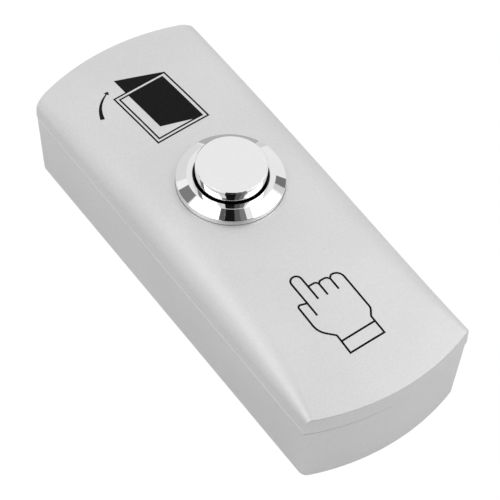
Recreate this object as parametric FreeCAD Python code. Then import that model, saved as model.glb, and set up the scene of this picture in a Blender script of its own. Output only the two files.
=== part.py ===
import FreeCAD, Part
import math
import os

# Surface-mounted door-release push button: a zinc-alloy back box, a domed zinc-alloy cover and a
# 16 mm chromed momentary switch with a screw-terminal contact block.
#
# Frame, in millimetres: X across the width, Y along the length (+Y is the upper end on the wall),
# Z out of the wall. The origin is the middle of the back face.

V = FreeCAD.Vector
X_AXIS = V(1, 0, 0)
Y_AXIS = V(0, 1, 0)
Z_AXIS = V(0, 0, 1)

# ---------------------------------------------------------------------------------------------
# Driving dimensions
# ---------------------------------------------------------------------------------------------

# Housing outline: a disc as wide as the housing is long, trimmed to a strip. The cover's top is a
# shallow dome over the same disc, so its edge stays level round both ends.
LENGTH = 83.0
WIDTH = 32.0

# Back box
BOX_HEIGHT = 13.5
BOX_STEP = 0.15            # how far the box stands inside the cover's edge at the joint
BOX_DRAFT = 0.6            # how much further in the box is at its back face
BOX_CORNER_TOP = 0.8
BOX_CORNER_BACK = 1.6
BOX_BACK_EDGE = 0.35       # rounding round the back face
BOX_FLOOR = 1.8
CAVITY_DRAFT = 0.3
CAVITY_CORNER = 1.2
LIP_HEIGHT = 1.5           # tongue that centres the cover
LIP_THICKNESS = 0.9
LIP_CLEARANCE = 0.15

# Cover
COVER_EDGE_HEIGHT = 3.65   # from the joint to the top edge, round the two ends
CROWN_RISE = 3.0           # how much higher the dome is in the middle
SHOULDER_MIDDLE = 4.2      # radius of the long edges in the middle of the length
SHOULDER_END = 0.6         # and at the corners
SHOULDER_POWER = 3         # how late the radius runs out towards the corners
COVER_EDGE_R = 0.3         # rounding where the sides and the dome meet the curved ends
COVER_WALL = 1.4
COVER_ROOF = 1.6
INNER_SHOULDER = 2.5       # radius of the long edges of the hollow
DOME_STATIONS = 4          # lofted sections between the middle and each corner
DOME_OVERRUN = 1.04        # how far past the disc the last sections stand

# Wall fixing and cable entry
WALL_SCREW_SPACING = 60.0
WALL_SCREW_HOLE_R = 2.1
WALL_PAD_R = 4.2
WALL_PAD_HEIGHT = 0.7
CABLE_ENTRY_Y = -17.0
CABLE_ENTRY_R = 5.0
CABLE_COLLAR_WALL = 1.2
CABLE_COLLAR_HEIGHT = 1.2

# Hook at the lower end: a foot on the cover under a ledge in the box
LEDGE_WIDTH = 9.0
LEDGE_REACH = 1.6
LEDGE_THICKNESS = 1.6
LEDGE_BELOW_JOINT = 1.5
HOOK_WIDTH = 7.0
HOOK_THICKNESS = 1.6
HOOK_REACH = 1.3
HOOK_GAP = 0.4

# Cover screw at the upper end: M3 countersunk, through the box wall into a boss on the cover
COVER_SCREW_R = 1.5
COVER_SCREW_Z = 8.5
COVER_SCREW_HEAD_R = 2.9
COVER_SCREW_LENGTH = 6.4
COVER_SCREW_SINK = 0.25    # how far the head lies below the wall
COVER_SCREW_HOLE_R = 1.7
THREAD_PLAY = 0.03
RECESS_WIDTH = 0.7
RECESS_SPAN = 3.2
RECESS_DEPTH = 0.9
BOSS_WIDTH = 7.0
BOSS_DEPTH = 4.4
BOSS_WALL_GAP = 0.5
BOSS_BELOW_SCREW = 3.0
BOSS_ROUNDING = 1.0

# Switch: bezel and threaded barrel
BUTTON_Y = 5.0
SEAT_DEPTH = 0.3           # spot face in the dome, under the bezel
SEAT_CLEARANCE = 0.12
BARREL_R = 8.0
BARREL_WALL = 1.05
BARREL_HOLE_PLAY = 0.1
BEZEL_OVERHANG = 1.0       # how far the bezel stands out over the barrel
BEZEL_RIM_HEIGHT = 1.33
BEZEL_CONE_HEIGHT = 0.97
BEZEL_FACE_WIDTH = 1.0     # flat ring between the hole and the cone
BEZEL_LIP = 1.5            # thickness that holds the cap in
BEZEL_LIP_REACH = 0.7      # how far it reaches in over the bore
BARREL_END = 1.0           # barrel wall below the snap ring
GASKET_THICKNESS = 0.5
GASKET_EDGE = 0.3          # bezel metal outside the gasket's groove
GASKET_PLAY = 0.03

# Panel nut and washer
PANEL_THICKNESS = 1.9      # cover metal between the bezel and the washer
NUT_SEAT_MARGIN = 0.4      # flat seat outside the washer
WASHER_THICKNESS = 0.6
WASHER_WIDTH = 2.2         # from the barrel to the washer's edge
WASHER_RING = 1.2
WASHER_TEETH = 12
WASHER_TOOTH_SHARE = 0.55
NUT_THICKNESS = 2.5
NUT_WALL = 1.5             # metal between the thread and the flats
NUT_CHAMFER = 0.6

# Button cap
CAP_GAP = 0.3              # dark gap round the cap, in the bezel's hole
CAP_RISE = 2.4             # cap top above the bezel face at rest
CAP_EDGE = 0.15
CAP_WALL = 0.9
CAP_TOP = 1.2
CAP_SKIRT_HEIGHT = 1.2
TRAVEL = 2.0
RUN = 0.05                 # running clearance on radius
STOP_GAP = 0.1             # left between faces that stop the travel

# Plunger stem, guide and spring
STEM_R = 1.6
STEM_TIP_R = 0.9
STEM_TIP_END = 0.4
STEM_HEAD = 1.4
GUIDE_PLATE = 1.0
STOP_TUBE_HEIGHT = 3.35
STOP_TUBE_WALL = 1.2
SPRING_R = 3.6             # to the middle of the wire
SPRING_WIRE_R = 0.35
SPRING_TURNS = 5

# Terminal block and its snap ring
BLOCK_RIM = 1.3
BLOCK_RIM_REACH = 0.5      # how far the rim stands out over the block
RING_THICKNESS = 0.6
RING_BITE = 0.3            # how far the ring reaches into the barrel
RING_PLAY = 0.05
RING_GAP = 3.0
POCKET_WIDTH = 4.2
POCKET_FLOOR = 1.3
BARRIER_THICKNESS = 1.0
BARRIER_INSET = 1.4        # how far its ends lie inside the block

# Contacts
CONTACT_HEAD_R = 1.6
CONTACT_HEAD = 0.6
CONTACT_SHANK_R = 1.4
CONTACT_GAP = 0.1          # left between the contacts at full travel
BRIDGE_HEADROOM = 1.3
BRIDGE_PLAY = 0.5          # round the bridge's ends in the pocket
BRIDGE_WIDTH = 3.0
BRIDGE_THICKNESS = 0.5
TIP_R = 1.1
TIP_HEIGHT = 0.5
STEM_WASHER_R = 1.5
STEM_WASHER = 0.5
CLAMP_THICKNESS = 0.8
CLAMP_PLAY = 0.1
TERMINAL_SCREW_R = 1.0
TERMINAL_HEAD_INSET = 0.3  # how far the head lies inside the clamp's edge
TERMINAL_HEAD = 1.3
TERMINAL_COVER = 0.4       # contact metal above the tapped hole
SLOT_WIDTH = 0.6
SLOT_DEPTH = 0.6

# ---------------------------------------------------------------------------------------------
# Levels and places worked out from the sizes above
# ---------------------------------------------------------------------------------------------

HALF_WIDTH = WIDTH / 2
END_R = LENGTH / 2
TOP_AT_ENDS = BOX_HEIGHT + COVER_EDGE_HEIGHT
TOP_IN_MIDDLE = TOP_AT_ENDS + CROWN_RISE
DOME_R = (END_R ** 2 + CROWN_RISE ** 2) / (2 * CROWN_RISE)
DOME_Z = TOP_IN_MIDDLE - DOME_R
CORNER_Y = math.sqrt(END_R ** 2 - HALF_WIDTH ** 2)
ABOVE_ALL = TOP_IN_MIDDLE + LENGTH / 4
LIP_INSET = COVER_WALL + LIP_CLEARANCE
CAVITY_INSET = LIP_INSET + LIP_THICKNESS
SAME = 1e-4                # two lengths closer than this are one

BARREL_BORE_R = BARREL_R - BARREL_WALL
BEZEL_R = BARREL_R + BEZEL_OVERHANG
BEZEL_HOLE_R = BARREL_BORE_R - BEZEL_LIP_REACH
BEZEL_FACE_R = BEZEL_HOLE_R + BEZEL_FACE_WIDTH
WASHER_R = BARREL_R + WASHER_WIDTH
NUT_SEAT_R = WASHER_R + NUT_SEAT_MARGIN
NUT_FLATS = 2 * (BARREL_R + NUT_WALL)
CAP_R = BEZEL_HOLE_R - CAP_GAP
INSERT_R = BARREL_BORE_R - RUN     # what slides into the barrel from below
BLOCK_R = INSERT_R - BLOCK_RIM_REACH
BARRIER_LENGTH = 2 * (BLOCK_R - BARRIER_INSET)

# The contact block keeps its proportions with the barrel
POCKET_LENGTH = 13 * BARREL_R / 10
BRIDGE_LENGTH = POCKET_LENGTH - 2 * BRIDGE_PLAY
CONTACT_X = 2 * BARREL_R / 5
CLAMP_SIZE = 23 * BARREL_R / 40
TERMINAL_HEAD_R = CLAMP_SIZE / 2 - TERMINAL_HEAD_INSET

Z_SEAT = DOME_Z + math.sqrt(DOME_R ** 2 - BUTTON_Y ** 2) - SEAT_DEPTH
Z_BEZEL_RIM = Z_SEAT + BEZEL_RIM_HEIGHT
Z_BEZEL_FACE = Z_BEZEL_RIM + BEZEL_CONE_HEIGHT
Z_BEZEL_LIP = Z_BEZEL_FACE - BEZEL_LIP
Z_NUT_SEAT = Z_SEAT - PANEL_THICKNESS
Z_WASHER = Z_NUT_SEAT - WASHER_THICKNESS
Z_NUT = Z_WASHER - NUT_THICKNESS

Z_CAP_TOP = Z_BEZEL_FACE + CAP_RISE
Z_CAP_HOLLOW = Z_CAP_TOP - CAP_TOP
Z_SKIRT_TOP = Z_BEZEL_LIP - RUN
Z_SKIRT = Z_SKIRT_TOP - CAP_SKIRT_HEIGHT

Z_STOP = Z_SKIRT - TRAVEL - STOP_GAP
Z_GUIDE_TOP = Z_STOP - STOP_TUBE_HEIGHT
Z_GUIDE = Z_GUIDE_TOP - GUIDE_PLATE
Z_BLOCK_RIM = Z_GUIDE - BLOCK_RIM
Z_RING = Z_BLOCK_RIM - RING_THICKNESS
Z_BARREL_END = Z_RING - BARREL_END

Z_BRIDGE_TOP = Z_GUIDE - BRIDGE_HEADROOM
Z_BRIDGE = Z_BRIDGE_TOP - BRIDGE_THICKNESS
Z_TIP = Z_BRIDGE - TIP_HEIGHT
Z_CONTACT_TOP = Z_TIP - TRAVEL - CONTACT_GAP
Z_POCKET = Z_CONTACT_TOP - CONTACT_HEAD
Z_BLOCK = Z_POCKET - POCKET_FLOOR
Z_CLAMP = Z_BLOCK - CLAMP_THICKNESS
Z_TERMINAL_HEAD = Z_CLAMP - TERMINAL_HEAD
Z_STEM_HEAD = Z_CAP_HOLLOW - STEM_HEAD

# ---------------------------------------------------------------------------------------------
# Shared shapes
# ---------------------------------------------------------------------------------------------

def rounded_corner(half, radius, corner):
    """Arc of radius corner between the upright line at half and a circle of the given radius about
    (0, 0): its start on the line, a point half-way along it, and its end on the circle."""
    centre_a = half - corner
    centre_b = math.sqrt((radius - corner) ** 2 - centre_a ** 2)
    reach = radius / (radius - corner)
    bend = math.atan2(centre_b, centre_a) / 2
    start = (half, centre_b)
    between = (centre_a + corner * math.cos(bend), centre_b + corner * math.sin(bend))
    end = (centre_a * reach, centre_b * reach)
    return start, between, end


def outline(inset, corner, z):
    """Housing outline moved in by inset, at height z: two straight sides, two arcs about the middle
    and four rounded corners."""
    radius = END_R - inset
    points = rounded_corner(HALF_WIDTH - inset, radius, corner)

    def placed(sx, sy):
        return [V(sx * x, sy * y, z) for x, y in points]

    right_up = placed(1, 1)
    left_up = placed(-1, 1)
    left_down = placed(-1, -1)
    right_down = placed(1, -1)
    edges = [
        Part.makeLine(right_down[0], right_up[0]),
        Part.Arc(*right_up).toShape(),
        Part.Arc(right_up[2], V(0, radius, z), left_up[2]).toShape(),
        Part.Arc(*reversed(left_up)).toShape(),
        Part.makeLine(left_up[0], left_down[0]),
        Part.Arc(*left_down).toShape(),
        Part.Arc(left_down[2], V(0, -radius, z), right_down[2]).toShape(),
        Part.Arc(*reversed(right_down)).toShape(),
    ]
    return Part.Wire(edges)


def prism(wire, height):
    return Part.Face(wire).extrude(Z_AXIS * height)


def box(x0, x1, y0, y1, z0, z1):
    return Part.makeBox(x1 - x0, y1 - y0, z1 - z0, V(x0, y0, z0))


def rod(radius, z0, z1, x=0.0, y=0.0):
    return Part.makeCylinder(radius, z1 - z0, V(x, y, z0), Z_AXIS)


def turned(profile, y=BUTTON_Y):
    """Solid of revolution about the vertical line at y, from a closed list of (radius, z) points."""
    points = [V(radius, y, z) for radius, z in profile]
    face = Part.Face(Part.makePolygon(points + points[:1]))
    return face.revolve(V(0, y, 0), Z_AXIS, 360)


def tube(outer, inner, z0, z1, y=BUTTON_Y):
    return turned([(inner, z0), (outer, z0), (outer, z1), (inner, z1)], y)


def dome_section(y):
    """Upright cross-section of the cover's outer form at y, on z = 0."""
    share = min(abs(y) / CORNER_Y, 1.0) ** SHOULDER_POWER
    shoulder = SHOULDER_MIDDLE - (SHOULDER_MIDDLE - SHOULDER_END) * share
    dome = math.sqrt(DOME_R ** 2 - y ** 2)
    points = rounded_corner(HALF_WIDTH, dome, shoulder)
    right = [V(x, y, DOME_Z + z) for x, z in points]
    left = [V(-x, y, DOME_Z + z) for x, z in points]
    edges = [
        Part.makeLine(V(-HALF_WIDTH, y, 0), V(HALF_WIDTH, y, 0)),
        Part.makeLine(V(HALF_WIDTH, y, 0), right[0]),
        Part.Arc(*right).toShape(),
        Part.Arc(right[2], V(0, y, DOME_Z + dome), left[2]).toShape(),
        Part.Arc(*reversed(left)).toShape(),
        Part.makeLine(left[0], V(-HALF_WIDTH, y, 0)),
    ]
    return Part.Wire(edges)


def cover_outside():
    """The cover's outer form: a strip lofted through its sections, whose long edges swell from
    crisp corners to full shoulders in the middle, trimmed round by the disc."""
    within = [CORNER_Y * i / DOME_STATIONS for i in range(-DOME_STATIONS, DOME_STATIONS + 1)]
    past = END_R * DOME_OVERRUN
    strip = Part.makeLoft([dome_section(y) for y in [-past] + within + [past]], True, False)
    form = strip.common(rod(END_R, 0, ABOVE_ALL))
    # The corner edges run on without a break round the shoulders and the top of each end.
    corners = [e for e in form.Edges if e.BoundBox.XLength + e.BoundBox.YLength < SAME]
    return form.makeFillet(COVER_EDGE_R, corners)


def cover_hollow():
    """What is taken out under the cover: the same strip, disc and dome, one wall further in."""
    half = HALF_WIDTH - COVER_WALL
    strip = box(-half, half, -END_R, END_R, 0, ABOVE_ALL)
    disc = rod(END_R - COVER_WALL, 0, ABOVE_ALL)
    dome = Part.makeSphere(DOME_R - COVER_ROOF, V(0, 0, DOME_Z))
    hollow = strip.common(disc).common(dome)
    long_edges = [
        e for e in hollow.Edges if e.BoundBox.XLength < SAME and e.BoundBox.ZMin > BOX_HEIGHT
    ]
    return hollow.makeFillet(INNER_SHOULDER, long_edges)


# ---------------------------------------------------------------------------------------------
# Housing
# ---------------------------------------------------------------------------------------------

def cavity_inset(z):
    """How far inside the outline the box cavity's wall is at height z."""
    return CAVITY_INSET + CAVITY_DRAFT * (BOX_HEIGHT - z) / BOX_HEIGHT


def box_inset(z):
    """How far inside the outline the box's outer wall is at height z."""
    return BOX_STEP + BOX_DRAFT * (BOX_HEIGHT - z) / BOX_HEIGHT


def make_back_box():
    outer = Part.makeLoft(
        [outline(box_inset(0), BOX_CORNER_BACK, 0), outline(BOX_STEP, BOX_CORNER_TOP, BOX_HEIGHT)],
        True,
        True,
    )
    back_edges = [e for e in outer.Edges if e.BoundBox.ZMax < BOX_BACK_EDGE]
    outer = outer.makeFillet(BOX_BACK_EDGE, back_edges)
    tongue = prism(outline(LIP_INSET, CAVITY_CORNER, BOX_FLOOR), BOX_HEIGHT + LIP_HEIGHT - BOX_FLOOR)
    cavity = Part.makeLoft(
        [
            outline(cavity_inset(BOX_FLOOR), CAVITY_CORNER, BOX_FLOOR),
            outline(CAVITY_INSET, CAVITY_CORNER, BOX_HEIGHT),
        ],
        True,
        True,
    )
    throat = prism(outline(CAVITY_INSET, CAVITY_CORNER, BOX_HEIGHT), ABOVE_ALL)
    body = outer.fuse(tongue).cut(cavity).cut(throat)

    holes = []
    for side in (-1, 1):
        y = side * WALL_SCREW_SPACING / 2
        body = body.fuse(rod(WALL_PAD_R, BOX_FLOOR / 2, BOX_FLOOR + WALL_PAD_HEIGHT, 0, y))
        holes.append(rod(WALL_SCREW_HOLE_R, -BOX_FLOOR, BOX_HEIGHT, 0, y))
    collar_r = CABLE_ENTRY_R + CABLE_COLLAR_WALL
    collar_top = BOX_FLOOR + CABLE_COLLAR_HEIGHT
    body = body.fuse(rod(collar_r, BOX_FLOOR / 2, collar_top, 0, CABLE_ENTRY_Y))
    holes.append(rod(CABLE_ENTRY_R, -BOX_FLOOR, BOX_HEIGHT, 0, CABLE_ENTRY_Y))

    ledge_top = BOX_HEIGHT - LEDGE_BELOW_JOINT
    ledge_y = -(END_R - cavity_inset(ledge_top)) + LEDGE_REACH
    ledge = box(
        -LEDGE_WIDTH / 2, LEDGE_WIDTH / 2, -END_R, ledge_y, ledge_top - LEDGE_THICKNESS, ledge_top
    )
    body = body.fuse(ledge.common(outer))

    head_y = END_R - box_inset(COVER_SCREW_Z) - COVER_SCREW_SINK
    sink_depth = COVER_SCREW_HEAD_R - COVER_SCREW_HOLE_R
    sink_more = 2 * COVER_SCREW_SINK
    holes.append(
        Part.makeCylinder(COVER_SCREW_HOLE_R, END_R, V(0, END_R / 2, COVER_SCREW_Z), Y_AXIS)
    )
    holes.append(
        Part.makeCone(
            COVER_SCREW_HOLE_R,
            COVER_SCREW_HEAD_R + sink_more,
            sink_depth + sink_more,
            V(0, head_y - sink_depth, COVER_SCREW_Z),
            Y_AXIS,
        )
    )
    for hole in holes:
        body = body.cut(hole)
    return body.removeSplitter()


def make_front_cover():
    hollow = cover_hollow()
    below_joint = rod(LENGTH, 0, BOX_HEIGHT)
    body = cover_outside().cut(below_joint).cut(hollow)

    inside = hollow.translated(Z_AXIS * COVER_ROOF / 2)
    nut_seat = rod(NUT_SEAT_R, Z_NUT_SEAT, ABOVE_ALL, 0, BUTTON_Y)
    for feature in (nut_seat, make_hook(), make_screw_boss()):
        body = body.fuse(feature.common(inside))

    seat_r = BEZEL_R + SEAT_CLEARANCE
    body = body.cut(rod(seat_r, Z_SEAT, ABOVE_ALL, 0, BUTTON_Y))
    body = body.cut(rod(BARREL_R + BARREL_HOLE_PLAY, 0, ABOVE_ALL, 0, BUTTON_Y))
    screw_hole = Part.makeCylinder(COVER_SCREW_R, END_R, V(0, END_R / 2, COVER_SCREW_Z), Y_AXIS)
    body = body.cut(screw_hole)
    return body.removeSplitter()


def make_hook():
    """Leg that hangs inside the lower end, with a foot that reaches under the box's ledge."""
    ledge_bottom = BOX_HEIGHT - LEDGE_BELOW_JOINT - LEDGE_THICKNESS
    ledge_y = -(END_R - cavity_inset(BOX_HEIGHT - LEDGE_BELOW_JOINT)) + LEDGE_REACH
    leg_y = ledge_y + HOOK_GAP
    foot_top = ledge_bottom - HOOK_GAP
    foot_bottom = foot_top - HOOK_THICKNESS
    half = HOOK_WIDTH / 2
    leg = box(-half, half, leg_y, leg_y + HOOK_THICKNESS, foot_bottom, ABOVE_ALL)
    foot = box(-half, half, leg_y - HOOK_REACH, leg_y + HOOK_THICKNESS, foot_bottom, foot_top)
    return leg.fuse(foot)


def boss_front():
    """Where along Y the cover's screw boss ends, just inside the box's upper end wall."""
    return END_R - cavity_inset(COVER_SCREW_Z) - BOSS_WALL_GAP


def make_screw_boss():
    half = BOSS_WIDTH / 2
    front = boss_front()
    bottom = COVER_SCREW_Z - BOSS_BELOW_SCREW
    boss = box(-half, half, front - BOSS_DEPTH, front, bottom, ABOVE_ALL)
    upright = [e for e in boss.Edges if e.BoundBox.ZLength > BOSS_BELOW_SCREW]
    return boss.makeFillet(BOSS_ROUNDING, upright)


def make_cover_screw():
    """Countersunk screw that lies along -Y, with a cross recess."""
    face_y = END_R - box_inset(COVER_SCREW_Z) - COVER_SCREW_SINK
    shank_r = COVER_SCREW_R - THREAD_PLAY
    cone = COVER_SCREW_HEAD_R - shank_r
    head = Part.makeCone(
        COVER_SCREW_HEAD_R, shank_r, cone, V(0, face_y, COVER_SCREW_Z), -Y_AXIS
    )
    shank = Part.makeCylinder(shank_r, COVER_SCREW_LENGTH, V(0, face_y, COVER_SCREW_Z), -Y_AXIS)
    screw = head.fuse(shank)
    bottom_y = face_y - RECESS_DEPTH
    for span_x, span_z in ((RECESS_SPAN, RECESS_WIDTH), (RECESS_WIDTH, RECESS_SPAN)):
        screw = screw.cut(
            box(
                -span_x / 2, span_x / 2, bottom_y, face_y + RECESS_DEPTH,
                COVER_SCREW_Z - span_z / 2, COVER_SCREW_Z + span_z / 2,
            )
        )
    return screw.removeSplitter()


# ---------------------------------------------------------------------------------------------
# Switch body, held in the cover by its nut
# ---------------------------------------------------------------------------------------------

def gasket_radii():
    return BARREL_R + BARREL_HOLE_PLAY, BEZEL_R - GASKET_EDGE


def make_switch_barrel():
    inner, outer = gasket_radii()
    ring_r = BARREL_BORE_R + RING_BITE
    return turned(
        [
            (BEZEL_HOLE_R, Z_BEZEL_FACE),
            (BEZEL_HOLE_R, Z_BEZEL_LIP),
            (BARREL_BORE_R, Z_BEZEL_LIP),
            (BARREL_BORE_R, Z_BLOCK_RIM + RING_PLAY),
            (ring_r, Z_BLOCK_RIM + RING_PLAY),
            (ring_r, Z_RING),
            (BARREL_BORE_R, Z_RING),
            (BARREL_BORE_R, Z_BARREL_END),
            (BARREL_R, Z_BARREL_END),
            (BARREL_R, Z_SEAT),
            (inner, Z_SEAT),
            (inner, Z_SEAT + GASKET_THICKNESS),
            (outer, Z_SEAT + GASKET_THICKNESS),
            (outer, Z_SEAT),
            (BEZEL_R, Z_SEAT),
            (BEZEL_R, Z_BEZEL_RIM),
            (BEZEL_FACE_R, Z_BEZEL_FACE),
        ]
    )


def make_bezel_gasket():
    inner, outer = gasket_radii()
    return tube(outer - GASKET_PLAY, inner + GASKET_PLAY, Z_SEAT, Z_SEAT + GASKET_THICKNESS)


def make_lock_washer():
    """Internal-tooth washer: a ring with teeth that reach in to the barrel."""
    root_r = WASHER_R - WASHER_RING
    tooth_r = BARREL_R + BARREL_HOLE_PLAY
    washer = tube(WASHER_R, root_r, Z_WASHER, Z_NUT_SEAT)
    pitch = 2 * math.pi * tooth_r / WASHER_TEETH
    half = pitch * WASHER_TOOTH_SHARE / 2
    blank = box(-half, half, tooth_r - half, root_r + WASHER_RING / 2, Z_WASHER, Z_NUT_SEAT)
    tooth = blank.cut(rod(tooth_r, Z_WASHER, Z_NUT_SEAT))
    for i in range(WASHER_TEETH):
        placed = tooth.copy()
        placed.rotate(V(0, 0, 0), Z_AXIS, 360 * i / WASHER_TEETH)
        placed.translate(V(0, BUTTON_Y, 0))
        washer = washer.fuse(placed)
    return washer.removeSplitter()


def make_hex_nut():
    corner_r = NUT_FLATS / 2 / math.cos(math.pi / 6)
    corners = [
        V(corner_r * math.cos(math.pi * k / 3), BUTTON_Y + corner_r * math.sin(math.pi * k / 3), Z_NUT)
        for k in range(6)
    ]
    blank = prism(Part.makePolygon(corners + corners[:1]), NUT_THICKNESS)
    slope = NUT_CHAMFER * math.tan(math.pi / 6)
    turned_form = turned(
        [
            (BARREL_R + THREAD_PLAY, Z_NUT),
            (corner_r - NUT_CHAMFER, Z_NUT),
            (corner_r, Z_NUT + slope),
            (corner_r, Z_WASHER - slope),
            (corner_r - NUT_CHAMFER, Z_WASHER),
            (BARREL_R + THREAD_PLAY, Z_WASHER),
        ]
    )
    return blank.common(turned_form)


def make_guide_insulator():
    """Plate that guides the stem, with the tube that the cap's skirt stops on."""
    inner = INSERT_R - STOP_TUBE_WALL
    bore = STEM_R + RUN
    return turned(
        [
            (bore, Z_GUIDE),
            (INSERT_R, Z_GUIDE),
            (INSERT_R, Z_STOP),
            (inner, Z_STOP),
            (inner, Z_GUIDE_TOP),
            (bore, Z_GUIDE_TOP),
        ]
    )


def make_terminal_block():
    """Insulating block with the pocket that the bridge moves in, and a barrier between the terminals."""
    rim = rod(INSERT_R, Z_BLOCK_RIM, Z_GUIDE, 0, BUTTON_Y)
    body = rim.fuse(rod(BLOCK_R, Z_BLOCK, Z_BLOCK_RIM, 0, BUTTON_Y))
    half = POCKET_WIDTH / 2
    straight = POCKET_LENGTH / 2 - half
    pocket = box(-straight, straight, BUTTON_Y - half, BUTTON_Y + half, Z_POCKET, Z_GUIDE)
    for side in (-1, 1):
        pocket = pocket.fuse(rod(half, Z_POCKET, Z_GUIDE, side * straight, BUTTON_Y))
    body = body.cut(pocket)
    for side in (-1, 1):
        shank_hole = rod(CONTACT_SHANK_R + THREAD_PLAY, Z_BLOCK, Z_POCKET, side * CONTACT_X, BUTTON_Y)
        body = body.cut(shank_hole)
    barrier = box(
        -BARRIER_THICKNESS / 2, BARRIER_THICKNESS / 2,
        BUTTON_Y - BARRIER_LENGTH / 2, BUTTON_Y + BARRIER_LENGTH / 2,
        Z_TERMINAL_HEAD, Z_BLOCK,
    )
    return body.fuse(barrier).removeSplitter()


def make_snap_ring():
    """Open ring under the block's rim, sprung into the barrel's groove."""
    inner = BLOCK_R + 2 * RING_PLAY
    outer = BARREL_BORE_R + RING_BITE - RING_PLAY
    ring = tube(outer, inner, Z_RING, Z_BLOCK_RIM)
    gap = box(-RING_GAP / 2, RING_GAP / 2, BUTTON_Y, BUTTON_Y + 2 * outer, Z_RING, Z_BLOCK_RIM)
    return ring.cut(gap)


def make_fixed_contact(side):
    """Rivet with a contact head on the pocket's floor and a tapped shank through the floor."""
    x = side * CONTACT_X
    head = rod(CONTACT_HEAD_R, Z_POCKET, Z_CONTACT_TOP, x, BUTTON_Y)
    shank = rod(CONTACT_SHANK_R, Z_BLOCK, Z_POCKET, x, BUTTON_Y)
    tapped = rod(TERMINAL_SCREW_R, Z_BLOCK, Z_CONTACT_TOP - TERMINAL_COVER, x, BUTTON_Y)
    return head.fuse(shank).cut(tapped).removeSplitter()


def make_wire_clamp(side):
    x = side * CONTACT_X
    half = CLAMP_SIZE / 2
    plate = box(x - half, x + half, BUTTON_Y - half, BUTTON_Y + half, Z_CLAMP, Z_BLOCK)
    return plate.cut(rod(TERMINAL_SCREW_R + CLAMP_PLAY, Z_CLAMP, Z_BLOCK, x, BUTTON_Y))


def make_terminal_screws():
    screws = []
    for side in (-1, 1):
        x = side * CONTACT_X
        tip = Z_CONTACT_TOP - TERMINAL_COVER - 2 * CLAMP_PLAY
        shank = rod(TERMINAL_SCREW_R - THREAD_PLAY, Z_CLAMP, tip, x, BUTTON_Y)
        head = rod(TERMINAL_HEAD_R, Z_TERMINAL_HEAD, Z_CLAMP, x, BUTTON_Y)
        reach = TERMINAL_HEAD_R + SLOT_DEPTH
        slot = box(
            x - SLOT_WIDTH / 2, x + SLOT_WIDTH / 2, BUTTON_Y - reach, BUTTON_Y + reach,
            Z_TERMINAL_HEAD, Z_TERMINAL_HEAD + SLOT_DEPTH,
        )
        screws.append(head.fuse(shank).cut(slot).removeSplitter())
    return Part.makeCompound(screws)


# ---------------------------------------------------------------------------------------------
# What moves when the button is pressed, and the spring that returns it
# ---------------------------------------------------------------------------------------------

def make_button_cap():
    inner = CAP_R - CAP_WALL
    return turned(
        [
            (0, Z_CAP_HOLLOW),
            (inner, Z_CAP_HOLLOW),
            (inner, Z_SKIRT),
            (INSERT_R, Z_SKIRT),
            (INSERT_R, Z_SKIRT_TOP),
            (CAP_R, Z_SKIRT_TOP),
            (CAP_R, Z_CAP_TOP - CAP_EDGE),
            (CAP_R - CAP_EDGE, Z_CAP_TOP),
            (0, Z_CAP_TOP),
        ]
    )


def make_plunger_stem():
    head_r = CAP_R - CAP_WALL - THREAD_PLAY
    stem_end = Z_BRIDGE - STEM_WASHER - STEM_TIP_END
    return turned(
        [
            (0, stem_end),
            (STEM_TIP_R, stem_end),
            (STEM_TIP_R, Z_BRIDGE_TOP),
            (STEM_R, Z_BRIDGE_TOP),
            (STEM_R, Z_STEM_HEAD),
            (head_r, Z_STEM_HEAD),
            (head_r, Z_CAP_HOLLOW),
            (0, Z_CAP_HOLLOW),
        ]
    )


def make_contact_bridge():
    half = BRIDGE_WIDTH / 2
    straight = BRIDGE_LENGTH / 2 - half
    bridge = box(-straight, straight, BUTTON_Y - half, BUTTON_Y + half, Z_BRIDGE, Z_BRIDGE_TOP)
    for side in (-1, 1):
        bridge = bridge.fuse(rod(half, Z_BRIDGE, Z_BRIDGE_TOP, side * straight, BUTTON_Y))
    stem_hole = rod(STEM_TIP_R + THREAD_PLAY, Z_BRIDGE, Z_BRIDGE_TOP, 0, BUTTON_Y)
    return bridge.cut(stem_hole).removeSplitter()


def make_contact_tips():
    tips = [rod(TIP_R, Z_TIP, Z_BRIDGE, side * CONTACT_X, BUTTON_Y) for side in (-1, 1)]
    return Part.makeCompound(tips)


def make_stem_washer():
    return tube(STEM_WASHER_R, STEM_TIP_R + THREAD_PLAY, Z_BRIDGE - STEM_WASHER, Z_BRIDGE)


def make_return_spring():
    """Coil between the guide plate and the stem's head."""
    bottom = Z_GUIDE_TOP + SPRING_WIRE_R
    height = Z_STEM_HEAD - SPRING_WIRE_R - bottom
    pitch = height / SPRING_TURNS
    helix = Part.makeHelix(pitch, height, SPRING_R)
    along = V(0, SPRING_R, pitch / (2 * math.pi))
    wire_section = Part.Wire(Part.makeCircle(SPRING_WIRE_R, X_AXIS * SPRING_R, along))
    coil = Part.Wire(helix.Edges).makePipeShell([wire_section], True, True)
    return coil.translated(V(0, BUTTON_Y, bottom))


# ---------------------------------------------------------------------------------------------
# One file for each piece
# ---------------------------------------------------------------------------------------------

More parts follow.
